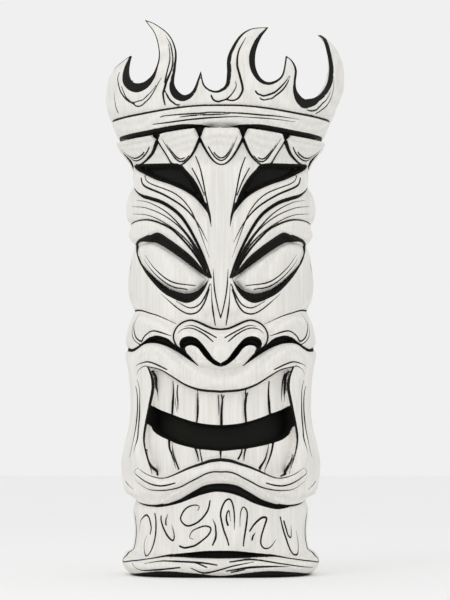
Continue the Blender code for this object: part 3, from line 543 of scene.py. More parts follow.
def petal_relief(girth, z):
    """Petals stand on the collar under the band, flaring outwards to their tops."""
    edge, to_corner = petal_tip(girth)
    lift = np.maximum(read(PETAL_FACE, z) - half_width(girth, z), 0)
    on_petal = ramp(z, edge - 0.5, edge + 3.5) * (1 - ramp(z, PETAL_TOP_Z, GROOVE_Z))
    return lift * on_petal * ramp(to_corner, petal_gap(z) - 0.5, petal_gap(z) + 1.5)


def relief(girth, z, deep):
    """Height of the carving over the log's skin."""
    along = np.abs(girth)
    front = 1 - ramp(along, *FACE_EDGE)

    def rounded(name):
        """Share of its height that a raised form has there."""
        return roll(deep[name], ROUNDING[name])

    high = MUZZLE_RISE * front * rounded("muzzle")
    lip = np.exp(-((deep["mouth"] - LIP_MIDDLE) / LIP_WIDTH) ** 2)
    high += LIP_RISE * front * lip * inward(deep["muzzle"], LIP_RUN)
    high += LOWER_LIP_RISE * rounded("lower_lip")
    high += BROW_RISE * front * rounded("brow_ridge")
    high += LID_RISE * front * rounded("lid")
    (more, low, top), (extra, foot, neck) = BRIDGE_TOP, BRIDGE_FOOT
    bridge = BRIDGE_HALF + more * ramp(z, low, top) + extra * ramp(-z, -neck, -foot)
    flank = ramp(along, bridge, bridge + BRIDGE_SLOPE)
    start, full, fading, end = BRIDGE_ENDS
    high += BRIDGE_RISE * (1 - flank) * ramp(z, start, full) * ramp(-z, -end, -fading)
    pouch_top = np.interp(along, *zip(*CHEEK_LINE))
    run, pouch_foot, pouch_full = POUCH
    pouch = ramp(pouch_top - z, 0, run) * ramp(z, pouch_foot, pouch_full)
    cheek_line = np.exp(-((z - pouch_top) / CHEEK_LINE_WIDTH) ** 2) * ramp(along, *CHEEK_LINE_START)
    high += front * (POUCH_RISE * pouch - CHEEK_LINE_DEPTH * cheek_line)
    across, upwards, tip_z = NOSE_TIP
    tip = np.exp(-(along / across) ** 2 - ((z - tip_z) / upwards) ** 2)
    high += inward(deep["nose"], NOSE_RUN) * (NOSE_RISE * rounded("nose") + NOSE_TIP_RISE * tip)

    # Recesses, each cut to its own level through what is there.
    for name, floor in (("brow_hollow", -BROW_HOLLOW_DEPTH), ("eye_hollow", -EYE_DEPTH),
                        ("eyeball", EYEBALL_RISE * rounded("eyeball") - EYEBALL_DEPTH),
                        ("crease", -CREASE_DEPTH), ("nostril", NOSTRIL_LEVEL),
                        ("mouth", TOOTH_ROUNDING * tooth_crown(along, z) - TEETH_DEPTH),
                        ("gap", -GAP_DEPTH), ("chin_hollow", -CHIN_DEPTH),
                        ("neck_hollow", -NECK_DEPTH)):
        share = inward(deep[name], SLACK_WALLS.get(name, WALL))
        high = high * (1 - share) + floor * share
    return high + petal_relief(girth, z)


def gouge_marks(girth, z, deep):
    """Shallow scallops of the gouge: staggered strokes up the sides, none on the teeth or eyes."""
    length, width, depth = GOUGE
    along = np.abs(girth)
    column = np.floor(along / width)
    across = along / width - column
    shift = np.sin(column * GOUGE_STAGGER[0]) * GOUGE_STAGGER[1]
    up = z / length + shift
    up -= np.floor(up)
    mark = depth * (1 - (2 * across - 1) ** 2) * np.sqrt(np.clip(1 - (2 * up - 1) ** 2, 0, 1))
    bare = GOUGE_BARE + (1 - GOUGE_BARE) * ramp(along, *GOUGE_TO_SIDE)
    bare *= ramp(z, NECK_Z, NECK_Z + 8) * (1 - ramp(z, *GOUGE_TOP))
    return mark * bare * ramp(deep["mouth"], 0, 4) * ramp(deep["eye_hollow"], 0, 4)


# ---------------------------------------------------------------- the cut lines
class Line:
    """A cut and inked line, or an uncut band of ink widening into painted shade: its path on the skin,
    the widths along it, and its side.
    """

    def __init__(self, path, widths, twin=False, cut=1.0):
        self.path = np.asarray(path, float)
        self.twin = twin
        self.cut = cut
        shares = np.linspace(0, 1, len(self.path))
        self.half = np.interp(shares, np.linspace(0, 1, len(widths)), widths) / 2

    def paths(self):
        """The line's path, and its twin's where it has one."""
        return [self.path * (side, 1) for side in ((1, -1) if self.twin else (1,))]


def stroke(points, widths):
    """A line on one side of the face only, its widths evened out where the sag stretches it."""
    line = Line(stretch(curve(points, LINE_STEP)), widths)
    girth, z = line.path.T
    slope = settle(girth, z + 0.5) - settle(girth, z - 0.5)
    run_girth, run_z = np.gradient(line.path, axis=0).T
    line.half *= np.hypot(run_girth, slope * run_z) / (slope * np.hypot(run_girth, run_z))
    return line


def pair(points, widths, start=0.0, end=1.0):
    """A line and its twin on the other half of the face."""
    return Line(stretch(curve(points, LINE_STEP), start, end), widths, twin=True)


def brow_lines():
    """The heavy line under the brow, the lines above it and the fan below it."""
    return [
        pair(BROW_RIDGE[2][::-1], (1.6, 3.6, 4.4, 4.4, 4.0, 3.2, 3.0)),
        pair([(109, 466), (102, 456), (71, 443), (45, 427), (28, 408), (16, 386)],
             (2.4, 2.6, 2.4, 2.2, 1.6, 0.5)),
        pair([(104, 469), (94, 459), (57, 444), (38, 426), (27, 403), (14, 368)],
             (1.2, 1.5, 1.5, 1.4, 1.0, 0.4)),
        pair([(126, 442), (96, 436), (66, 421), (38, 392), (18, 360)], (0.4, 1.1, 1.6, 2.2, 3.0)),
        pair([(139, 436), (101, 430), (68, 417), (42, 395), (18, 357)], (0.4, 1.1, 1.4, 1.8, 2.6)),
        pair([(138, 427), (97, 421), (65, 407), (38, 385), (18, 354)], (0.4, 1.0, 1.3, 1.8, 2.6)),
        pair([(19, 431), (14, 419), (11.5, 404)], (4.0, 3.2, 0.5)),
        pair([(30, 486), (24, 469), (18, 440), (13, 418)], (1.4, 1.8, 1.8, 1.4)),
        pair([(35, 473), (27, 458), (20, 441)], (1.4, 1.8, 1.2)),
    ]


def eye_lines():
    """The lid's edge, the rims of the eye and the lines on and under the eyeball."""
    return [
        pair(LID[0], (1.0, 2.0, 2.2, 2.4, 2.4, 2.6)),
        pair(EYE_HOLLOW[0], (1.4, 2.2, 1.4), 0.0, 0.3),
        pair(EYE_HOLLOW[1][::-1], (1.0, 1.6, 1.4, 0.6), 0.0, 0.6),
        pair(EYEBALL[1][::-1], (1.0, 2.0, 2.2, 1.0), 0.0, 0.6),
        pair([(105, 375), (84, 356), (60, 341), (30, 336)], (0.5, 1.4, 1.8, 1.0)),
        pair([(110, 371), (84, 350), (62, 336.5), (41, 332)], (0.5, 1.4, 1.8, 1.4)),
        pair([(13, 337), (18, 325), (26, 314), (38, 310.5), (54, 318)], (1.4, 2.0, 1.8, 1.4, 0.5)),
        pair([(14, 331), (20, 315), (30, 304.5), (46, 306), (76, 328)], (1.8, 2.2, 1.8, 1.4, 0.4)),
        pair([(150, 375), (155, 363), (159, 350)], (2.2, 4.0, 1.6)),
    ]


def nose_lines():
    """The bridge, the outline of the nose, and the lines over the nostrils and cheeks."""
    return [
        pair([(9, 355), (7.5, 332), (4, 313), (0, 298)], (0.5, 1.8, 1.6, 1.4)),
        pair([(11.5, 338), (10.5, 318), (9, 305), (6.5, 290)], (0.4, 1.0, 2.2, 1.2)),
        pair(NOSE[0], (2.4, 2.8, 2.2, 2.4, 2.4, 4.2, 1.0)),
        pair([(50, 280), (44, 285), (33, 285.5), (20, 279), (9, 270)], (0.5, 1.4, 1.6, 2.0, 1.4)),
        pair([(42, 288), (33, 289), (20, 283), (5, 274.5)], (0.5, 1.6, 2.0, 1.6)),
        pair(CHEEK_LINE[::-1], (2.4, 2.2, 1.8, 1.4, 0.5)),
        pair([(118, 307), (123, 292), (117, 279), (107, 273.5), (98, 280), (84, 284.5), (60, 278)],
             (0.5, 1.8, 2.4, 2.0, 1.6, 2.0, 0.8)),
        pair([(125, 300), (127, 284), (118, 273), (106, 269.5), (98, 274)], (0.5, 1.6, 1.6, 1.4, 0.6)),
    ]


def mouth_lines():
    """The rims of the mouth, the lips, the flesh at its corners and the jaw."""
    return [
        pair([(110, 234), (105, 239), (97, 243.5)] + MOUTH[0][::-1], (0.4, 1.2, 1.6, 2.0, 2.4, 2.8, 2.8)),
        pair([(112, 244), (101, 247), (92, 248.5), (84, 247), (76, 244), (64.5, 238.8)],
             (0.4, 1.2, 1.8, 2.0, 1.6)),
        pair(MOUTH[1], (1.6, 3.0, 2.8, 2.4, 2.0, 1.3, 0.5)),
        pair([(0, 135), (12, 133.5), (23, 130), (34, 126.5), (45, 122), (56, 117.3), (65, 114.3),
              (74, 114), (85, 116.5), (92, 119.5), (100, 124)],
             (4.0, 4.0, 3.4, 3.0, 2.6, 2.2, 1.7, 1.3, 1.1, 0.9, 0.5)),
        pair([(102, 125.5), (108, 123.5), (109, 119.5), (100, 114.5), (91, 110), (82, 106.6),
              (72, 105), (62, 106), (53, 108.3)], (0.5, 1.0, 1.3, 1.5, 1.8, 2.0, 2.0, 1.5)),
        pair(LOWER_LIP[1][2:], (0.4, 0.8, 1.1, 1.4, 1.6, 1.7, 1.7)),
        pair(MUZZLE[1], (0.5, 1.8, 1.8, 2.2, 2.4, 2.2), 0.0, 0.6),
        pair([(139, 110), (128, 105), (118, 100.5)], (1.6, 1.0, 0.4)),
        pair([(110, 228), (107, 220), (104.5, 211), (103.5, 198), (103.5, 187), (104.5, 171)],
             (0.8, 1.8, 2.0, 2.0, 1.6)),
        pair([(114.5, 221), (112, 214.5), (109.5, 204), (108, 192), (108, 180), (109, 169)],
             (1.0, 2.0, 3.0, 3.0, 2.4, 1.6)),
        pair([(109, 170), (112, 158), (118, 148), (124, 138)], (1.8, 1.6, 1.2, 0.5)),
        pair([(104.5, 171), (105, 160), (108, 151), (112, 143)], (1.6, 1.8, 1.2, 0.5)),
    ]


def tooth_lines():
    """The lines between the teeth, long above the gap and short below it."""
    return [
        stroke([(1, 210), (2, 203), (1, 190), (1, 176)], (1.4, 2.6, 3.0, 3.4)),
        stroke([(-3, 209), (-2.2, 198), (-2.2, 186)], (1.2, 1.6, 0.5)),
        stroke([(4, 209), (2.5, 204)], (1.6, 0.8)),
        stroke([(-28, 215), (-28, 206), (-28, 190), (-29, 179)], (0.6, 2.2, 2.8, 2.2)),
        stroke([(30, 215), (31, 208), (30, 195), (31, 179)], (1.4, 3.2, 2.8, 2.4)),
        stroke([(33, 212), (32, 207)], (1.6, 0.8)),
        stroke([(-60, 226), (-59, 216), (-60, 202), (-61, 189)], (0.8, 2.2, 3.4, 2.6)),
        stroke([(-53, 221), (-54, 212), (-53, 202), (-53, 193)], (1.6, 2.0, 1.8, 0.8)),
        stroke([(-56, 207), (-56, 199), (-54, 190)], (0.5, 1.0, 0.4)),
        stroke([(61, 226), (60, 213), (61, 199), (62, 188)], (1.2, 2.2, 3.4, 2.6)),
        stroke([(-87, 238), (-83, 230), (-82, 218), (-81, 203)], (1.8, 2.0, 1.4, 0.4)),
        stroke([(87, 238), (84, 233), (82, 224), (83, 202)], (1.4, 2.4, 1.6, 0.4)),
        stroke([(83, 235), (80, 227), (79, 218), (78, 202)], (1.8, 2.0, 1.6, 0.4)),
        stroke([(0, 145), (0, 138)], (2.4, 1.6)),
        stroke([(-30, 147), (-28, 141), (-26, 133)], (2.4, 2.0, 0.8)),
        stroke([(-25, 147), (-24, 141), (-22, 133)], (1.4, 1.6, 1.8)),
        stroke([(26, 147.5), (24, 141), (21, 136)], (1.8, 2.4, 2.4)),
        stroke([(30, 147.5), (28.5, 141), (28, 134)], (2.2, 1.8, 1.0)),
        stroke([(-64, 158), (-63, 149), (-60, 141), (-57, 132), (-55, 125)], (2.8, 2.6, 2.0, 1.2, 0.5)),
        stroke([(-60, 155), (-59, 146), (-57, 138), (-51, 124)], (0.6, 1.4, 2.0, 2.0)),
        stroke([(65, 155), (63, 146), (60, 137), (53, 121)], (2.8, 2.4, 1.8, 0.6)),
        stroke([(59, 152), (57, 144), (54, 135), (47, 125)], (0.8, 1.8, 2.6, 3.6)),
        stroke([(-93, 147), (-92, 141), (-90, 135), (-86, 127), (-77, 117)], (0.4, 1.0, 1.6, 2.2, 1.4)),
        stroke([(91, 142), (89, 135), (85, 127), (80, 119), (73, 116)], (0.4, 1.0, 1.6, 2.2, 1.4)),
    ]


def neck_lines():
    """A row of hooks, curls and arches cut round the neck, and its two corner lines."""
    return [
        stroke([(-126, 48), (-124, 55), (-119, 64), (-110, 69), (-103, 71), (-98, 68), (-95, 61),
                (-94, 55), (-96, 49)], (0.5, 1.4, 1.8, 2.4, 2.8, 1.8)),
        stroke([(-87, 73), (-85.5, 65), (-86, 50), (-90, 35), (-98, 24), (-105, 27), (-108, 34),
                (-107, 41), (-102, 48)], (2.0, 2.6, 2.4, 2.0, 1.6, 1.2, 0.5)),
        stroke([(-77, 70), (-77, 65), (-74, 57), (-69, 49), (-64, 44), (-60, 42), (-58.5, 45),
                (-59, 51), (-62, 60)], (2.0, 2.4, 2.4, 2.4, 2.0, 1.4, 0.5)),
        stroke([(-67, 72), (-70, 66), (-70, 60)], (0.6, 1.8, 2.4)),
        stroke([(-13, 88), (-15, 79), (-19, 72), (-26, 65), (-33, 61), (-41, 59), (-47, 62), (-50, 67),
                (-48, 73), (-43, 79), (-37, 82), (-30, 83), (-26, 81), (-28, 77)],
               (1.8, 2.2, 2.2, 2.2, 2.0, 2.0, 1.6, 0.8)),
        stroke([(-51, 36), (-45, 34), (-38, 35), (-31, 37), (-22, 43), (-15, 49), (-12, 55), (-14, 58),
                (-20, 59), (-27, 57), (-34, 54), (-38, 49), (-38, 45), (-33, 44)],
               (2.2, 2.4, 2.2, 2.0, 2.0, 1.8, 1.2, 0.6)),
        stroke([(-10, 67), (-7, 61), (-6, 55), (-6, 46), (-10, 37)], (0.5, 1.8, 2.2, 2.6, 1.8)),
        stroke([(10, 37), (8, 44), (4, 54), (1, 65), (0, 73), (2, 81), (6, 88), (11, 90), (14, 86),
                (16, 79), (17, 69), (17, 55)], (1.8, 2.2, 2.2, 2.2, 2.2, 2.0, 1.8, 0.5)),
        stroke([(9, 60), (7, 67), (8, 74), (10, 77), (11, 73), (12, 65)], (2.6, 2.2, 1.8, 1.2, 0.6)),
        stroke([(24, 58), (24, 67), (25, 76), (28, 81), (32, 77), (33, 72), (32, 61), (29, 44), (28, 36)],
               (0.5, 1.0, 1.6, 2.0, 2.4, 2.2, 1.6)),
        stroke([(36, 53), (42, 61), (49, 67), (54, 69), (58, 68), (57, 64), (54, 56), (51, 47),
                (50, 39), (53, 34), (57, 33), (63, 35), (71, 43)],
               (2.0, 2.4, 2.6, 2.4, 2.2, 2.0, 1.4, 0.5)),
        stroke([(39, 43), (40, 47), (43, 51)], (2.2, 2.2, 0.8)),
        stroke([(77, 69), (80, 60), (83, 52), (87, 43), (91, 34), (96, 27), (101, 25), (108, 27),
                (111, 38), (107, 53)], (1.8, 2.6, 2.6, 2.4, 2.0, 1.4, 0.5)),
        stroke([(83, 64), (87, 55), (90, 48), (95, 45), (96, 49), (96, 59)], (2.4, 2.4, 2.2, 1.6, 0.5)),
        pair([(152, 84), (143, 66), (141, 45), (148, 26), (152, 17)], (1.0, 5.0, 6.0, 6.0, 5.0)),
    ]


def foot_lines():
    """Long slack lines round the foot rim, and the line where the neck meets it."""
    return [
        pair([(176, 27), (152, 16), (114, 18), (99, 19.5), (86, 21.5), (72, 24), (60, 25.8)],
             (0.6, 1.4, 1.6, 1.8, 2.4)),
        stroke([(-89, 15.5), (-81, 17), (-68, 19), (-51, 19), (-27, 18), (-16, 17), (-4, 15)],
               (0.5, 1.4, 2.0, 2.2, 1.6)),
        stroke([(-40, 18.5), (-27, 17.5), (-15, 12.5)], (0.8, 1.8, 1.8)),
        stroke([(-112, 16), (-98, 8), (-72, 9), (-44, 12)], (0.5, 1.4, 2.0, 1.8)),
        stroke([(-32, 11.5), (-20, 6), (-6, 8), (14, 14), (37, 18.5)], (1.2, 2.2, 1.8, 1.6, 0.5)),
        stroke([(10, 18.5), (36, 21), (68, 16), (96, 12), (123, 10)], (1.6, 2.0, 1.4, 0.5)),
        stroke([(6, 8), (30, 12), (53, 13), (78, 12.5)], (1.4, 2.8, 2.0, 0.5)),
        stroke([(12, 6.5), (26, 9.5)], (1.8, 1.2)),
    ]


def ring_line(height, width):
    """A line all round the log."""
    girth = np.linspace(-HALF_GIRTH, HALF_GIRTH, int(2 * HALF_GIRTH / EDGE_STEP))
    return Line(level(girth, height), (width, width))


def band_lines():
    """The ink line on top of the headband and the long lines on its face."""
    return [
        ring_line(BAND_TOP_Z + 0.4, 2.2),
        stroke([(-61, 538.2), (-57, 538.8), (-44, 538), (-35, 537.5), (-19, 537), (-12, 537.6),
                (0, 537.6), (12, 537), (36, 537), (48, 537.8), (60, 538.7), (82, 539.5)],
               (1.0, 1.6, 1.6, 1.2, 1.8, 1.8, 1.2, 0.4)),
        stroke([(-41, 535), (-31, 535), (-19, 535), (-2, 535.2), (9, 536.2)], (1.0, 1.6, 1.6, 0.8)),
        stroke([(-71, 532), (-65, 531.7), (-55, 531.2), (-45, 531), (-33, 531), (-20, 531.2), (-4, 532),
                (11, 532.8), (34, 533.4), (50, 534.6), (61, 535.2), (78, 536)],
               (1.0, 1.6, 1.8, 1.8, 1.4, 0.8, 1.3, 0.9, 0.4)),
    ]


def petal_line(start, end, inset, first, last, slack, widths):
    """A line inside a petal; -1 and 1 are the petal's corners, slack its room on each side."""
    middle, half = (start + end) / 2, (end - start) / 2
    tip = petal_tip_z(middle) + inset
    across = np.linspace(first, last, 30)
    girth = middle + across * (half - np.where(across < 0, *slack) * inset)
    return Line(stretch(np.column_stack([girth, tip + (PETAL_CORNER_Z - tip) * across ** 2])), widths)


def petal_lines():
    """The edge of each petal, and two lines inside it that run up along its outer side."""
    lines = []
    for start, middle, end in zip(*petal_spans()):
        girth = np.linspace(start + 0.3, end - 0.3, 30)
        edge, _ = petal_tip(girth)
        lines.append(Line(stretch(np.column_stack([girth, edge + 0.6])), (3.0, 2.4, 1.5, 2.4, 3.0)))
        short = -0.5 if abs(2 * middle - start - end) > 1 else -0.8
        for inset, later, last, outer in PETAL_LINES:
            first = short + later
            widths = (1.4, 1.8, 1.8, 1.6, 1.0, 0.4)
            if start + end > 0:
                lines.append(petal_line(start, end, inset, first, last, (1.05, outer), widths))
            else:
                lines.append(petal_line(start, end, inset, -last, -first, (outer, 1.05), widths[::-1]))
    return lines


def flame_runs(step):
    """The runs between the flames' tips, fitted to the log's girth."""
    return [curve(run, step) * (HALF_GIRTH / RUNS_HALF_GIRTH, 1) for run in FLAME_RUNS]


def flame_path():
    """The tips and valleys of the flames, all round the log."""
    runs = flame_runs(EDGE_STEP)
    return np.vstack([run[:-1] for run in runs] + [runs[-1][-1:]])


# Black along each run, from tip to tip, an inked edge that widens into painted shade in each valley:
# (share of the run, its width on the outer face).
VALLEY_BLACK = {
    3: [(0, 1), (0.05, 3), (0.11, 6.5), (0.18, 10), (0.31, 11), (0.37, 8.5), (0.42, 5.5), (0.47, 3),
        (0.53, 1.8), (0.65, 1.2), (1, 0.8)],
    4: [(0, 0.8), (0.35, 1.3), (0.5, 1.8), (0.6, 2.6), (0.66, 3.8), (0.69, 5.6), (0.715, 7.4),
        (0.74, 8.4), (0.77, 6.3), (0.79, 4.8), (0.815, 4.4), (0.86, 3.2), (0.9, 2.6), (1, 1)],
    5: [(0, 1), (0.13, 1.8), (0.21, 2.6), (0.29, 3.8), (0.39, 4.3), (0.54, 4), (0.65, 3.2),
        (0.75, 2.4), (0.85, 1.3), (1, 0.8)],
    6: [(0, 1), (0.1, 3), (0.2, 4.8), (0.35, 6.2), (0.47, 5.8), (0.58, 4.6), (0.67, 3.4),
        (0.74, 2.3), (0.85, 1.3), (1, 1)],
    7: [(0, 1), (0.09, 3), (0.2, 2.8), (0.245, 5), (0.27, 7.4), (0.3, 6.8), (0.33, 5.8), (0.36, 5.8),
        (0.41, 6.4), (0.46, 5.5), (0.54, 3.6), (0.62, 2.4), (0.75, 1.2), (1, 1)],
}
PLAIN_BLACK = [(0, 0.8), (0.3, 3), (0.5, 5), (0.7, 2), (1, 1)]


def valley_lines():
    """Ink along the rim of the flames, swelling in each valley into painted shade; it isn't cut in."""
    lines = []
    for place, run in enumerate(flame_runs(LINE_STEP)):
        shares = np.linspace(0, 1, 60)
        # The swelling in the valleys is painted shade.
        widths = 2 * np.interp(shares, *zip(*VALLEY_BLACK.get(place, PLAIN_BLACK)))
        lines.append(Line(stretch(run), widths, cut=0.0))
    return lines


def crown_lines():
    """Curling lines that follow the flames' bodies up from the band."""
    return [
        stroke([(-117, 591), (-119, 585), (-117, 579), (-113, 569), (-108, 561), (-103, 556), (-96, 554),
                (-88, 554), (-79, 555), (-70, 561), (-64, 568)], (1.6, 2.0, 2.0, 1.6, 1.2, 0.5)),
        stroke([(-110, 573), (-107, 566), (-104, 559), (-99, 555), (-94, 553), (-89, 551), (-83, 551),
                (-77, 553), (-71, 556), (-65, 564), (-58, 576)], (1.2, 1.8, 1.8, 1.6, 1.4, 1.2, 0.5)),
        stroke([(-126, 569), (-127, 561), (-127, 554), (-124, 550)], (0.6, 1.4, 2.0)),
        stroke([(-59, 628), (-55.5, 623), (-52, 617), (-50, 611), (-48.2, 604), (-47.4, 598),
                (-47.4, 591), (-48.2, 585), (-50, 579), (-53, 571), (-55, 564), (-57, 559),
                (-57, 554), (-56, 550)],
               (0.3, 0.8, 1.4, 1.4, 1.4, 1.6, 2.4, 2.6, 2.2, 1.6)),
        stroke([(-54, 617), (-52.3, 611), (-51, 605), (-50.4, 598), (-51, 591), (-53, 579), (-54.5, 571)],
               (0.4, 1.0, 1.2, 1.4, 1.6, 1.6)),
        stroke([(-55, 562), (-53, 556), (-50, 552), (-47, 550), (-44, 548), (-41, 548)],
               (0.8, 2.0, 2.0, 1.6)),
        stroke([(-9, 554), (-8, 552), (-6, 550), (-2, 549), (1, 550), (5, 551), (9, 554), (12, 558),
                (15, 565), (14, 571)], (1.8, 2.2, 2.0, 1.4, 1.0, 0.5)),
        stroke([(26, 624), (18, 607), (16, 591), (18, 579), (21, 565), (21, 559), (18, 553), (15, 551),
                (11, 550), (6, 551)], (0.5, 1.6, 2.2, 2.4, 2.2, 1.8)),
        stroke([(34, 560), (36, 557), (39, 556), (42, 555), (46, 556), (51, 558), (55, 561), (63, 571),
                (68, 580)], (1.8, 2.2, 2.2, 1.6, 0.5)),
        stroke([(39, 553), (41, 552), (44, 552), (48, 553), (52, 554), (60, 561), (65, 569), (69, 579)],
               (1.6, 1.6, 2.0, 1.6, 0.5)),
        stroke([(93, 549), (99, 549), (107, 550), (112, 552), (118, 555), (123, 558), (127, 564),
                (130, 573)], (1.6, 2.0, 2.0, 1.8, 1.2, 0.4)),
        stroke([(108, 548), (112, 549), (118, 551), (124, 553), (130, 556), (133, 562), (134, 568),
                (134, 592)], (1.2, 1.6, 1.8, 1.6, 1.2, 0.8, 0.3)),
    ]


def all_lines():
    """Every cut or inked line of the statue, with the flames' inked rims and their painted valley shade.
    """
    return (brow_lines() + eye_lines() + nose_lines() + mouth_lines() + tooth_lines()
            + neck_lines() + foot_lines() + band_lines() + petal_lines() + valley_lines()
            + crown_lines())


def cuts(points, lines):
    """Depth of the grooves at each point, and distance from the edge of their ink, which in the flames'
    valleys widens into painted shade.
    """
    deepest = np.zeros(len(points))
    ink_and_painted_shade = np.full(len(points), FAR)
    for line in lines:
        for path in line.paths():
            index = np.flatnonzero(close_to(points, path, line.half.max() + SHOULDER + 6))
            spots = points[index]
            best = np.full(len(index), ENDLESS)
            half = np.zeros(len(index))
            for i in range(len(path) - 1):
                run = path[i + 1] - path[i]
                t = np.clip(((spots - path[i]) @ run) / max(run @ run, TINY), 0, 1)
                gap = np.hypot(*(spots - path[i] - t[:, None] * run).T)
                closer = gap < best
                best = np.where(closer, gap, best)
                half = np.where(closer, line.half[i] * (1 - t) + line.half[i + 1] * t, half)
            full = GROOVE_DEPTH[0] + GROOVE_DEPTH[1] * half
            groove = line.cut * full * (1 - ramp(best, 0, half + SHOULDER))
            deepest[index] = np.maximum(deepest[index], groove)
            ink_and_painted_shade[index] = np.minimum(ink_and_painted_shade[index], best - half)
    return deepest, ink_and_painted_shade


# Upper edge of the painted black shadow under the foot rim.
UNDER = [(-190, 1.5), (-120, 3), (-66, 7.5), (-30, 5.5), (-6, 2.8), (10, 3.2), (30, 6), (56, 8),
         (86, 6), (125, 3), (190, 1.5)]


def band_painted_shadow(girth):
    """Middle of the painted black shadow under the headband, and half its height."""
    along = np.abs(girth)
    middle = np.interp(along, (0, 20, 42), (520.3, 522.5, 525.0))
    return middle, np.interp(along, (0, 20, 120, 160), (0.5, 2.4, 2.2, 1.4))


def painted_shade_areas(points, deep):
    """Distance from the edge of the areas painted black as shade, negative inside them."""
    girth, z = points.T
    # Painted shade in the hollows: round the eyeballs, under the brows, in the crease and nostrils,
    # between the teeth and in the chin and neck hollows.
    areas = [np.maximum(deep["eye_hollow"], -deep["eyeball"])]
    areas += [deep[name] for name in ("brow_hollow", "crease", "nostril", "gap", "chin_hollow",
                                      "neck_hollow")]
    # Painted shade between the petals.
    _, to_corner = petal_tip(girth)
    between_petals = np.maximum(to_corner - petal_gap(z) - 0.5, PETAL_GAP_Z - 1 - z)
    areas.append(np.maximum(between_petals, z - GROOVE_Z - 1))
    # Painted shadow under the headband.
    middle, half = band_painted_shadow(girth)
    areas.append(np.abs(z - middle) - half)
    # Painted shadow under the foot rim.
    areas.append(z - np.interp(girth, *curve(UNDER, FINE_STEP).T))
    return np.minimum.reduce(areas)


# ---------------------------------------------------------------- meshing
def line_points(lines):
    """Rows of points along each line: its middle, the edges of its black and its lips."""
    rows = []
    for line in lines:
        for path in line.paths():
            rows.append(path)
            for out in (0.0, SHOULDER):
                rows += [beside(path, line.half + out), beside(path, -line.half - out)]
    return np.vstack(rows)


def form_points():
    """Rows of points along the outlines of the forms and down their walls."""
    rows = []
    for shapes in (HALF_SHAPES, WHOLE_SHAPES, UNEVEN_SHAPES):
        for runs in shapes.values():
            path = outline(runs, EDGE_STEP, across=shapes is WHOLE_SHAPES)
            path = np.vstack([path, path[:1]])
            for out in (0.0, WALL / 2, WALL):
                for side in (1, -1) if out else (1,):
                    row = beside(path, side * out)
                    row = row if out == 0 else row[distance(row, path[:-1]) < -0.7 * out]
                    rows += [row, row * (-1, 1)] if shapes is HALF_SHAPES else [row]
    girth = np.arange(-HALF_GIRTH + 1.5, HALF_GIRTH, 3.0)
    for height in (5, 16, 26, NECK_Z, PETAL_TOP_Z, GROOVE_Z, BAND_Z, BAND_TOP_Z - 0.8, BAND_TOP_Z,
                   CROWN_Z):
        rows.append(level(girth, height))
    # Rows along the edges of the painted shadow under the band.
    middle, half = band_painted_shadow(girth)
    rows += [np.column_stack([girth, middle + half]), np.column_stack([girth, middle - half])]
    # A row along the edge of the painted shadow under the foot rim.
    rows.append(curve(UNDER, EDGE_STEP))
    for corner in petal_spans()[0][1:]:
        z = np.linspace(PETAL_GAP_Z - 1, GROOVE_Z, 12)
        for out in (0.0, 0.5 + petal_gap(z), -0.5 - petal_gap(z)):
            rows.append(np.column_stack([corner + out + 0 * z, z]))
    return np.vstack(rows)


def grid(g_range, z_range, step):
    """Loose points in staggered rows."""
    rows = []
    for i, z in enumerate(np.arange(z_range[0] + step / 2, z_range[1], step * ROW_SHARE)):
        girth = np.arange(g_range[0] + step * (0.25 + 0.5 * (i % 2)), g_range[1], step)
        rows.append(level(girth, z))
    return np.vstack(rows)


def spread(groups):
    """Keeps points of each group that are clear of all the points kept before them."""
    kept = np.empty((0, 2))
    for points, clear in groups:
        cell = np.round(points / clear).astype(np.int64)
        _, first = np.unique(cell, axis=0, return_index=True)
        points = points[np.sort(first)]
        if len(kept):
            tree = kdtree.KDTree(len(kept))
            for i, point in enumerate(kept):
                tree.insert((point[0], point[1], 0.0), i)
            tree.balance()
            free = [tree.find((point[0], point[1], 0.0))[2] > clear for point in points]
            points = points[np.array(free)]
        kept = np.vstack([kept, points])
    return kept


def triangulate(loop, loose):
    """Delaunay triangles of a flat sheet inside a loop. The loop's points come first."""
    points = [Vector(point) for point in np.vstack([loop, loose])]
    edges = [(i, (i + 1) % len(loop)) for i in range(len(loop))]
    flat, _, faces, _, _, _ = delaunay_2d_cdt(points, edges, [], 0, 1e-4, True)
    flat = np.array([tuple(point) for point in flat])
    faces = np.array(faces)
    middles = flat[faces].mean(axis=1)
    low, high = loop.min(0), loop.max(0)
    inside = np.all((middles > low) & (middles < high), axis=1)
    doubtful = np.flatnonzero(inside & (middles[:, 1] > BAND_TOP_Z))
    inside[doubtful] = distance(middles[doubtful], loop) < 0
    return flat, faces[inside]


def foot_line(foot_z):
    """Points all round the log at one height."""
    return level(np.linspace(-HALF_GIRTH, HALF_GIRTH, int(2 * HALF_GIRTH / FINE_STEP) + 1), foot_z)


def sheet_loop(foot_z, rim):
    """Loop of a sheet all round the log, from its foot line up to the flames' outline."""
    side_z = np.linspace(rim[-1][1], foot_z, int((rim[-1][1] - foot_z) / 3.5) + 1)[1:-1]
    sides = [np.column_stack([np.full_like(side_z, border), side_z])
             for border in (HALF_GIRTH, -HALF_GIRTH)]
    return np.vstack([rim, sides[0], foot_line(foot_z)[::-1], sides[1][::-1]])


def rim_distance(points, rim):
    """Distance from the flames' outline, also across the seam at the back."""
    turn = np.array((2 * HALF_GIRTH, 0))
    near = np.full(len(points), ENDLESS)
    high = np.flatnonzero(points[:, 1] > BAND_TOP_Z - 5)
    near[high] = distance(points[high], rim, False)
    seam = high[np.abs(points[high, 0]) > HALF_GIRTH - 4 * FLAME_ROUNDING]
    for shift in (-1, 1):
        near[seam] = np.minimum(near[seam], distance(points[seam] + shift * turn, rim, False))
    return near


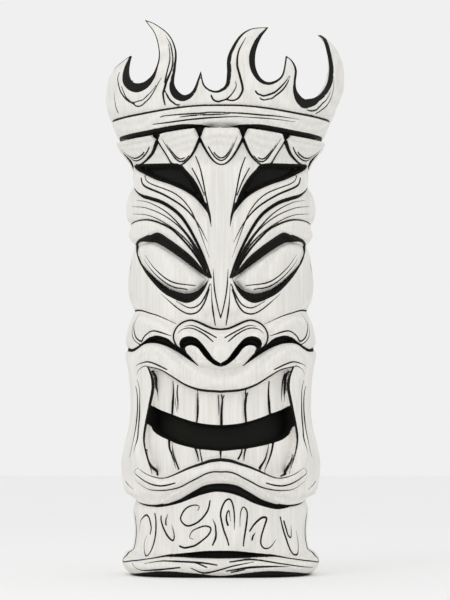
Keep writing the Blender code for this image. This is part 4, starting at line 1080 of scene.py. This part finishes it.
def crown_faces(points, rim):
    """Lift of the flames' outer and inner face, off the width of the crown."""
    full = read(FLAME_THICKNESS, points[:, 1])
    rounded = np.sin(np.clip(rim_distance(points, rim) / FLAME_ROUNDING, 0, 1) * np.pi / 2)
    outer = FLAME_DIP * (rounded - 1)
    return outer, outer - FLAME_EDGE - (full - FLAME_EDGE) * rounded


def outer_face(flat, rim, lines):
    """Places in space of points of the carved outside, and their values of ink and painted shade."""
    girth, z = flat.T
    deep = depths(flat)
    groove, ink_and_painted_shade = cuts(flat, lines)
    # Black of the cut lines, painted shade in the hollows, under the band and rim and in the flames'
    # valleys, and the inked rim of the flames.
    ink_and_painted_shade = np.minimum.reduce([ink_and_painted_shade, painted_shade_areas(flat, deep), rim_distance(flat, rim) - RIM_INK])
    carving = relief(girth, z, deep) - gouge_marks(girth, z, deep) - groove
    log = wrap(girth, z, half_width(girth, z), carving)
    lift, _ = crown_faces(flat, rim)
    crown = wrap(girth, z, flame_width(girth, z), lift - groove)
    share = ramp(z, BAND_TOP_Z, CROWN_Z)[:, None]
    places = log * (1 - share) + crown * share
    places[:, 2] = settle(girth, z)
    return places, ink_and_painted_shade


def inner_face(flat, rim):
    """Places in space of points of the flames' inside, and their ink values."""
    girth, z = flat.T
    _, lift = crown_faces(flat, rim)
    return wrap(girth, z, flame_width(girth, z), lift), rim_distance(flat, rim) - RIM_INK


def outer_sheet(rim, lines):
    """The carved outside: foot, face, petals, band and flames."""
    loop = sheet_loop(0.0, rim)
    face = grid((-FACE_HALF, FACE_HALF), (0, BAND_TOP_Z), FACE_STEP)
    back = grid((FACE_HALF, 2 * HALF_GIRTH - FACE_HALF), (0, BAND_TOP_Z), SIDE_STEP)
    back[:, 0] = np.where(back[:, 0] > HALF_GIRTH, back[:, 0] - 2 * HALF_GIRTH, back[:, 0])
    flames = grid((-HALF_GIRTH, HALF_GIRTH), (BAND_TOP_Z, HEIGHT), FLAME_STEP)
    points = spread([(loop, LOOP_CLEAR), (line_points(lines), LINE_CLEAR),
                     (form_points(), FORM_CLEAR), (face, FACE_CLEAR), (back, SIDE_CLEAR),
                     (flames, FLAME_CLEAR)])[len(loop):]
    inside = (np.abs(points[:, 0]) < HALF_GIRTH - EDGE_CLEAR) & (points[:, 1] > EDGE_CLEAR)
    high = np.flatnonzero(points[:, 1] > BAND_TOP_Z)
    inside[high] = distance(points[high], loop) < -EDGE_CLEAR
    flat, faces = triangulate(loop, points[inside])
    places, ink_and_painted_shade = outer_face(flat, rim, lines)
    return places, faces, ink_and_painted_shade


def inner_sheet(rim):
    """The inside of the flames, down to the floor of the bowl."""
    loop = sheet_loop(BOWL_Z, rim)
    flames = grid((-HALF_GIRTH, HALF_GIRTH), (BOWL_Z, HEIGHT), FLAME_STEP + 0.6)
    loose = spread([(loop, LOOP_CLEAR), (flames, FLAME_CLEAR)])[len(loop):]
    flat, faces = triangulate(loop, loose[distance(loose, loop) < -INNER_CLEAR])
    places, ink_and_painted_shade = inner_face(flat, rim)
    return places, faces[:, ::-1], ink_and_painted_shade


def rim_strip(rim, lines):
    """The edge of the flames, which joins the outer sheet to the inner one."""
    count = len(rim)
    first = np.arange(count - 1)
    faces = np.vstack([np.column_stack([first, first + 1, first + 1 + count]),
                       np.column_stack([first, first + 1 + count, first + count])])
    places = [outer_face(rim, rim, lines)[0], inner_face(rim, rim)[0]]
    return np.vstack(places), faces, np.full(2 * count, -RIM_INK)


def level_disc(edge, share, z):
    """One ring of a disc: its edge, drawn together to a share of its size."""
    return np.column_stack([edge[:, :2] * share, np.full(len(edge), z)])


def disc(edge, edge_ink_and_shade, z_middle, upwards):
    """Rings from an edge to its middle: the bowl's floor or the underside."""
    shares = np.linspace(1, 0, DISC_RINGS)[:-1]
    z_edge = edge[0, 2]
    rings = [level_disc(edge, share, z_edge + (z_middle - z_edge) * (1 - share * share))
             for share in shares]
    points = np.vstack(rings + [[(0, 0, z_middle)]])
    count = len(edge)
    faces = []
    for ring in range(len(shares) - 1):
        for i in range(count - 1):
            a, b = ring * count + i, ring * count + i + 1
            faces += [(a, b, b + count), (a, b + count, a + count)]
    last = (len(shares) - 1) * count
    faces += [(last + i, last + i + 1, len(points) - 1) for i in range(count - 1)]
    faces = np.array(faces)
    ink_and_painted_shade = np.full(len(points), FAR)
    ink_and_painted_shade[:count] = edge_ink_and_shade
    return points, faces if upwards else faces[:, ::-1], ink_and_painted_shade


def fit_inside(points):
    """Keeps the fine mesh inside the frame's box, which the coarse solid sets."""
    low, high = np.array(BOX_LOW) / MM, np.array(BOX_HIGH) / MM
    for axis in (0, 1, 2):
        along = points[:, axis]
        grown, shrunk = high[axis] / along.max(), low[axis] / min(along.min(), -1e-9)
        points[:, axis] = np.where(along > 0, along * min(1, grown), along * min(1, shrunk))
    return points


def statue_mesh():
    """All sheets of the statue as one mesh: points, triangles, and values of ink and painted shade."""
    rim = flame_path()
    lines = all_lines()
    bowl_edge = inner_face(foot_line(BOWL_Z), rim)
    foot_edge = outer_face(foot_line(0.0), rim, lines)
    sheets = [outer_sheet(rim, lines), inner_sheet(rim), rim_strip(rim, lines),
              disc(*bowl_edge, BOWL_Z - BOWL_DISH, True), disc(*foot_edge, 0.0, False)]
    points, faces, ink_and_painted_shade, first = [], [], [], 0
    for sheet_points, sheet_faces, sheet_ink_and_shade in sheets:
        points.append(sheet_points)
        faces.append(sheet_faces + first)
        ink_and_painted_shade.append(sheet_ink_and_shade)
        first += len(sheet_points)
    return fit_inside(np.vstack(points)), np.vstack(faces), np.concatenate(ink_and_painted_shade)


def make_statue():
    """The statue as one object, its sheets joined at their edges."""
    points, faces, ink_and_painted_shade = statue_mesh()
    mesh = bpy.data.meshes.new("carved_statue")
    mesh.from_pydata((points * MM).tolist(), [], faces.tolist())
    value = mesh.attributes.new("ink_and_painted_shade", "FLOAT", "POINT")
    value.data.foreach_set("value", np.clip(ink_and_painted_shade, -FAR, FAR).astype(np.float32))
    shape = bmesh.new()
    shape.from_mesh(mesh)
    bmesh.ops.remove_doubles(shape, verts=shape.verts, dist=MERGE * MM)
    bmesh.ops.recalc_face_normals(shape, faces=shape.faces)
    open_edges = sum(not edge.is_manifold for edge in shape.edges)
    print("carved_statue:", len(shape.faces), "faces,", open_edges, "open edges")
    shape.to_mesh(mesh)
    shape.free()
    mesh.shade_smooth()
    mesh.set_sharp_from_angle(angle=math.radians(SHARP_ANGLE))
    statue = bpy.data.objects.new("carved_statue", mesh)
    bpy.context.scene.collection.objects.link(statue)
    return statue


# ---------------------------------------------------------------- materials
def new_material(name):
    """A material with nodes, and its shader."""
    material = bpy.data.materials.new(name)
    material.use_nodes = True
    return material, material.node_tree.nodes["Principled BSDF"]


def feed(node, inputs):
    """Sets each input of a node to a value, or links it to another node's output."""
    for name, value in inputs.items():
        if isinstance(value, bpy.types.NodeSocket):
            node.id_data.links.new(value, node.inputs[name])
        else:
            node.inputs[name].default_value = value


def wood_material():
    """Pale wood with a faint grain, and black up to the edge of the ink and painted shade."""
    material, shader = new_material("carved_wood")

    def node(kind, inputs, **settings):
        """A new node, with its settings and its inputs."""
        made = material.node_tree.nodes.new("ShaderNode" + kind)
        for name, value in settings.items():
            setattr(made, name, value)
        feed(made, inputs)
        return made

    place = node("TexCoord", {}).outputs["Object"]
    stretched = node("Mapping", {"Scale": (1.0, 1.0, 0.05), "Vector": place}).outputs["Vector"]
    grain = node("TexNoise", {"Scale": 330.0, "Detail": 5.0, "Roughness": 0.65,
                              "Vector": stretched}).outputs["Fac"]
    rings = node("TexWave", {"Scale": 62.0, "Distortion": 3.0, "Detail": 2.0, "Detail Scale": 0.6,
                             "Vector": stretched}, wave_type="RINGS", rings_direction="Z")
    wood = node("ValToRGB", {"Fac": grain})
    for stop, (position, colour) in zip(wood.color_ramp.elements, WOOD_STOPS):
        stop.position = position
        stop.color = colour
    tone = node("Mix", {"Factor": RING_STRENGTH, "A": wood.outputs["Color"],
                        "B": rings.outputs["Color"]}, data_type="RGBA", blend_type="MULTIPLY")

    # Black of the ink lines and of the shade painted into the hollows and valleys.
    ink_and_painted_shade = node("Attribute", {}, attribute_name="ink_and_painted_shade").outputs["Fac"]
    wobble = node("TexNoise", {"Scale": 420.0, "Detail": 2.0, "Vector": place}).outputs["Fac"]
    edge = node("Math", {0: wobble, 1: INK_AND_SHADE_WOBBLE, 2: ink_and_painted_shade}, operation="MULTIPLY_ADD")
    painted = node("MapRange", {"From Min": INK_AND_SHADE_EDGE[0], "From Max": INK_AND_SHADE_EDGE[1], "To Min": 1.0,
                                "To Max": 0.0, "Value": edge.outputs["Value"]})
    colour = node("Mix", {"Factor": painted.outputs["Result"], "A": tone.outputs["Result"],
                          "B": INK_AND_SHADE_COLOUR}, data_type="RGBA")
    rough = node("MapRange", {"To Min": ROUGHNESS[0], "To Max": ROUGHNESS[1], "Value": grain})
    bump = node("Bump", {"Strength": 0.2, "Distance": 0.0005, "Height": grain})
    feed(shader, {"Base Color": colour.outputs["Result"], "Roughness": rough.outputs["Result"],
                  "Normal": bump.outputs["Normal"], "Metallic": 0.0, "Specular IOR Level": 0.2})
    return material


# ---------------------------------------------------------------- stage, light and camera
def make_stage():
    """The plain pale floor."""
    bpy.ops.mesh.primitive_plane_add(size=160.0, location=(0, 0, 0))
    floor = bpy.context.object
    floor.name = "floor"
    paper, shader = new_material("pale_floor")
    feed(shader, {"Base Color": FLOOR_COLOUR, "Roughness": 0.9})
    floor.data.materials.append(paper)


def make_light():
    """Even light from all round, and two soft lamps."""
    world = bpy.data.worlds.new("studio")
    bpy.context.scene.world = world
    world.use_nodes = True
    feed(world.node_tree.nodes["Background"], {"Color": (1, 1, 1, 1), "Strength": SKY_STRENGTH})
    for name, place, power, size in LAMPS:
        light = bpy.data.lights.new(name, "AREA")
        light.energy = power
        light.size = size
        lamp = bpy.data.objects.new(name, light)
        lamp.location = place
        aim = Vector(LAMP_AIM) - lamp.location
        lamp.rotation_euler = aim.to_track_quat("-Z", "Y").to_euler()
        bpy.context.scene.collection.objects.link(lamp)


def make_camera():
    """The camera, at the drawing's viewing angle."""
    lens = bpy.data.cameras.new("camera")
    lens.lens = CAMERA_LENS
    lens.sensor_width = 36.0
    camera = bpy.data.objects.new("camera", lens)
    camera.location = CAMERA_PLACE
    camera.rotation_euler = (math.radians(CAMERA_TILT), 0, 0)
    bpy.context.scene.collection.objects.link(camera)
    bpy.context.scene.camera = camera


statue = make_statue()
statue.data.materials.append(wood_material())
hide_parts("tiki_statue")
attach(statue, "root")
make_stage()
make_light()
make_camera()
bpy.context.scene.view_settings.view_transform = "Standard"
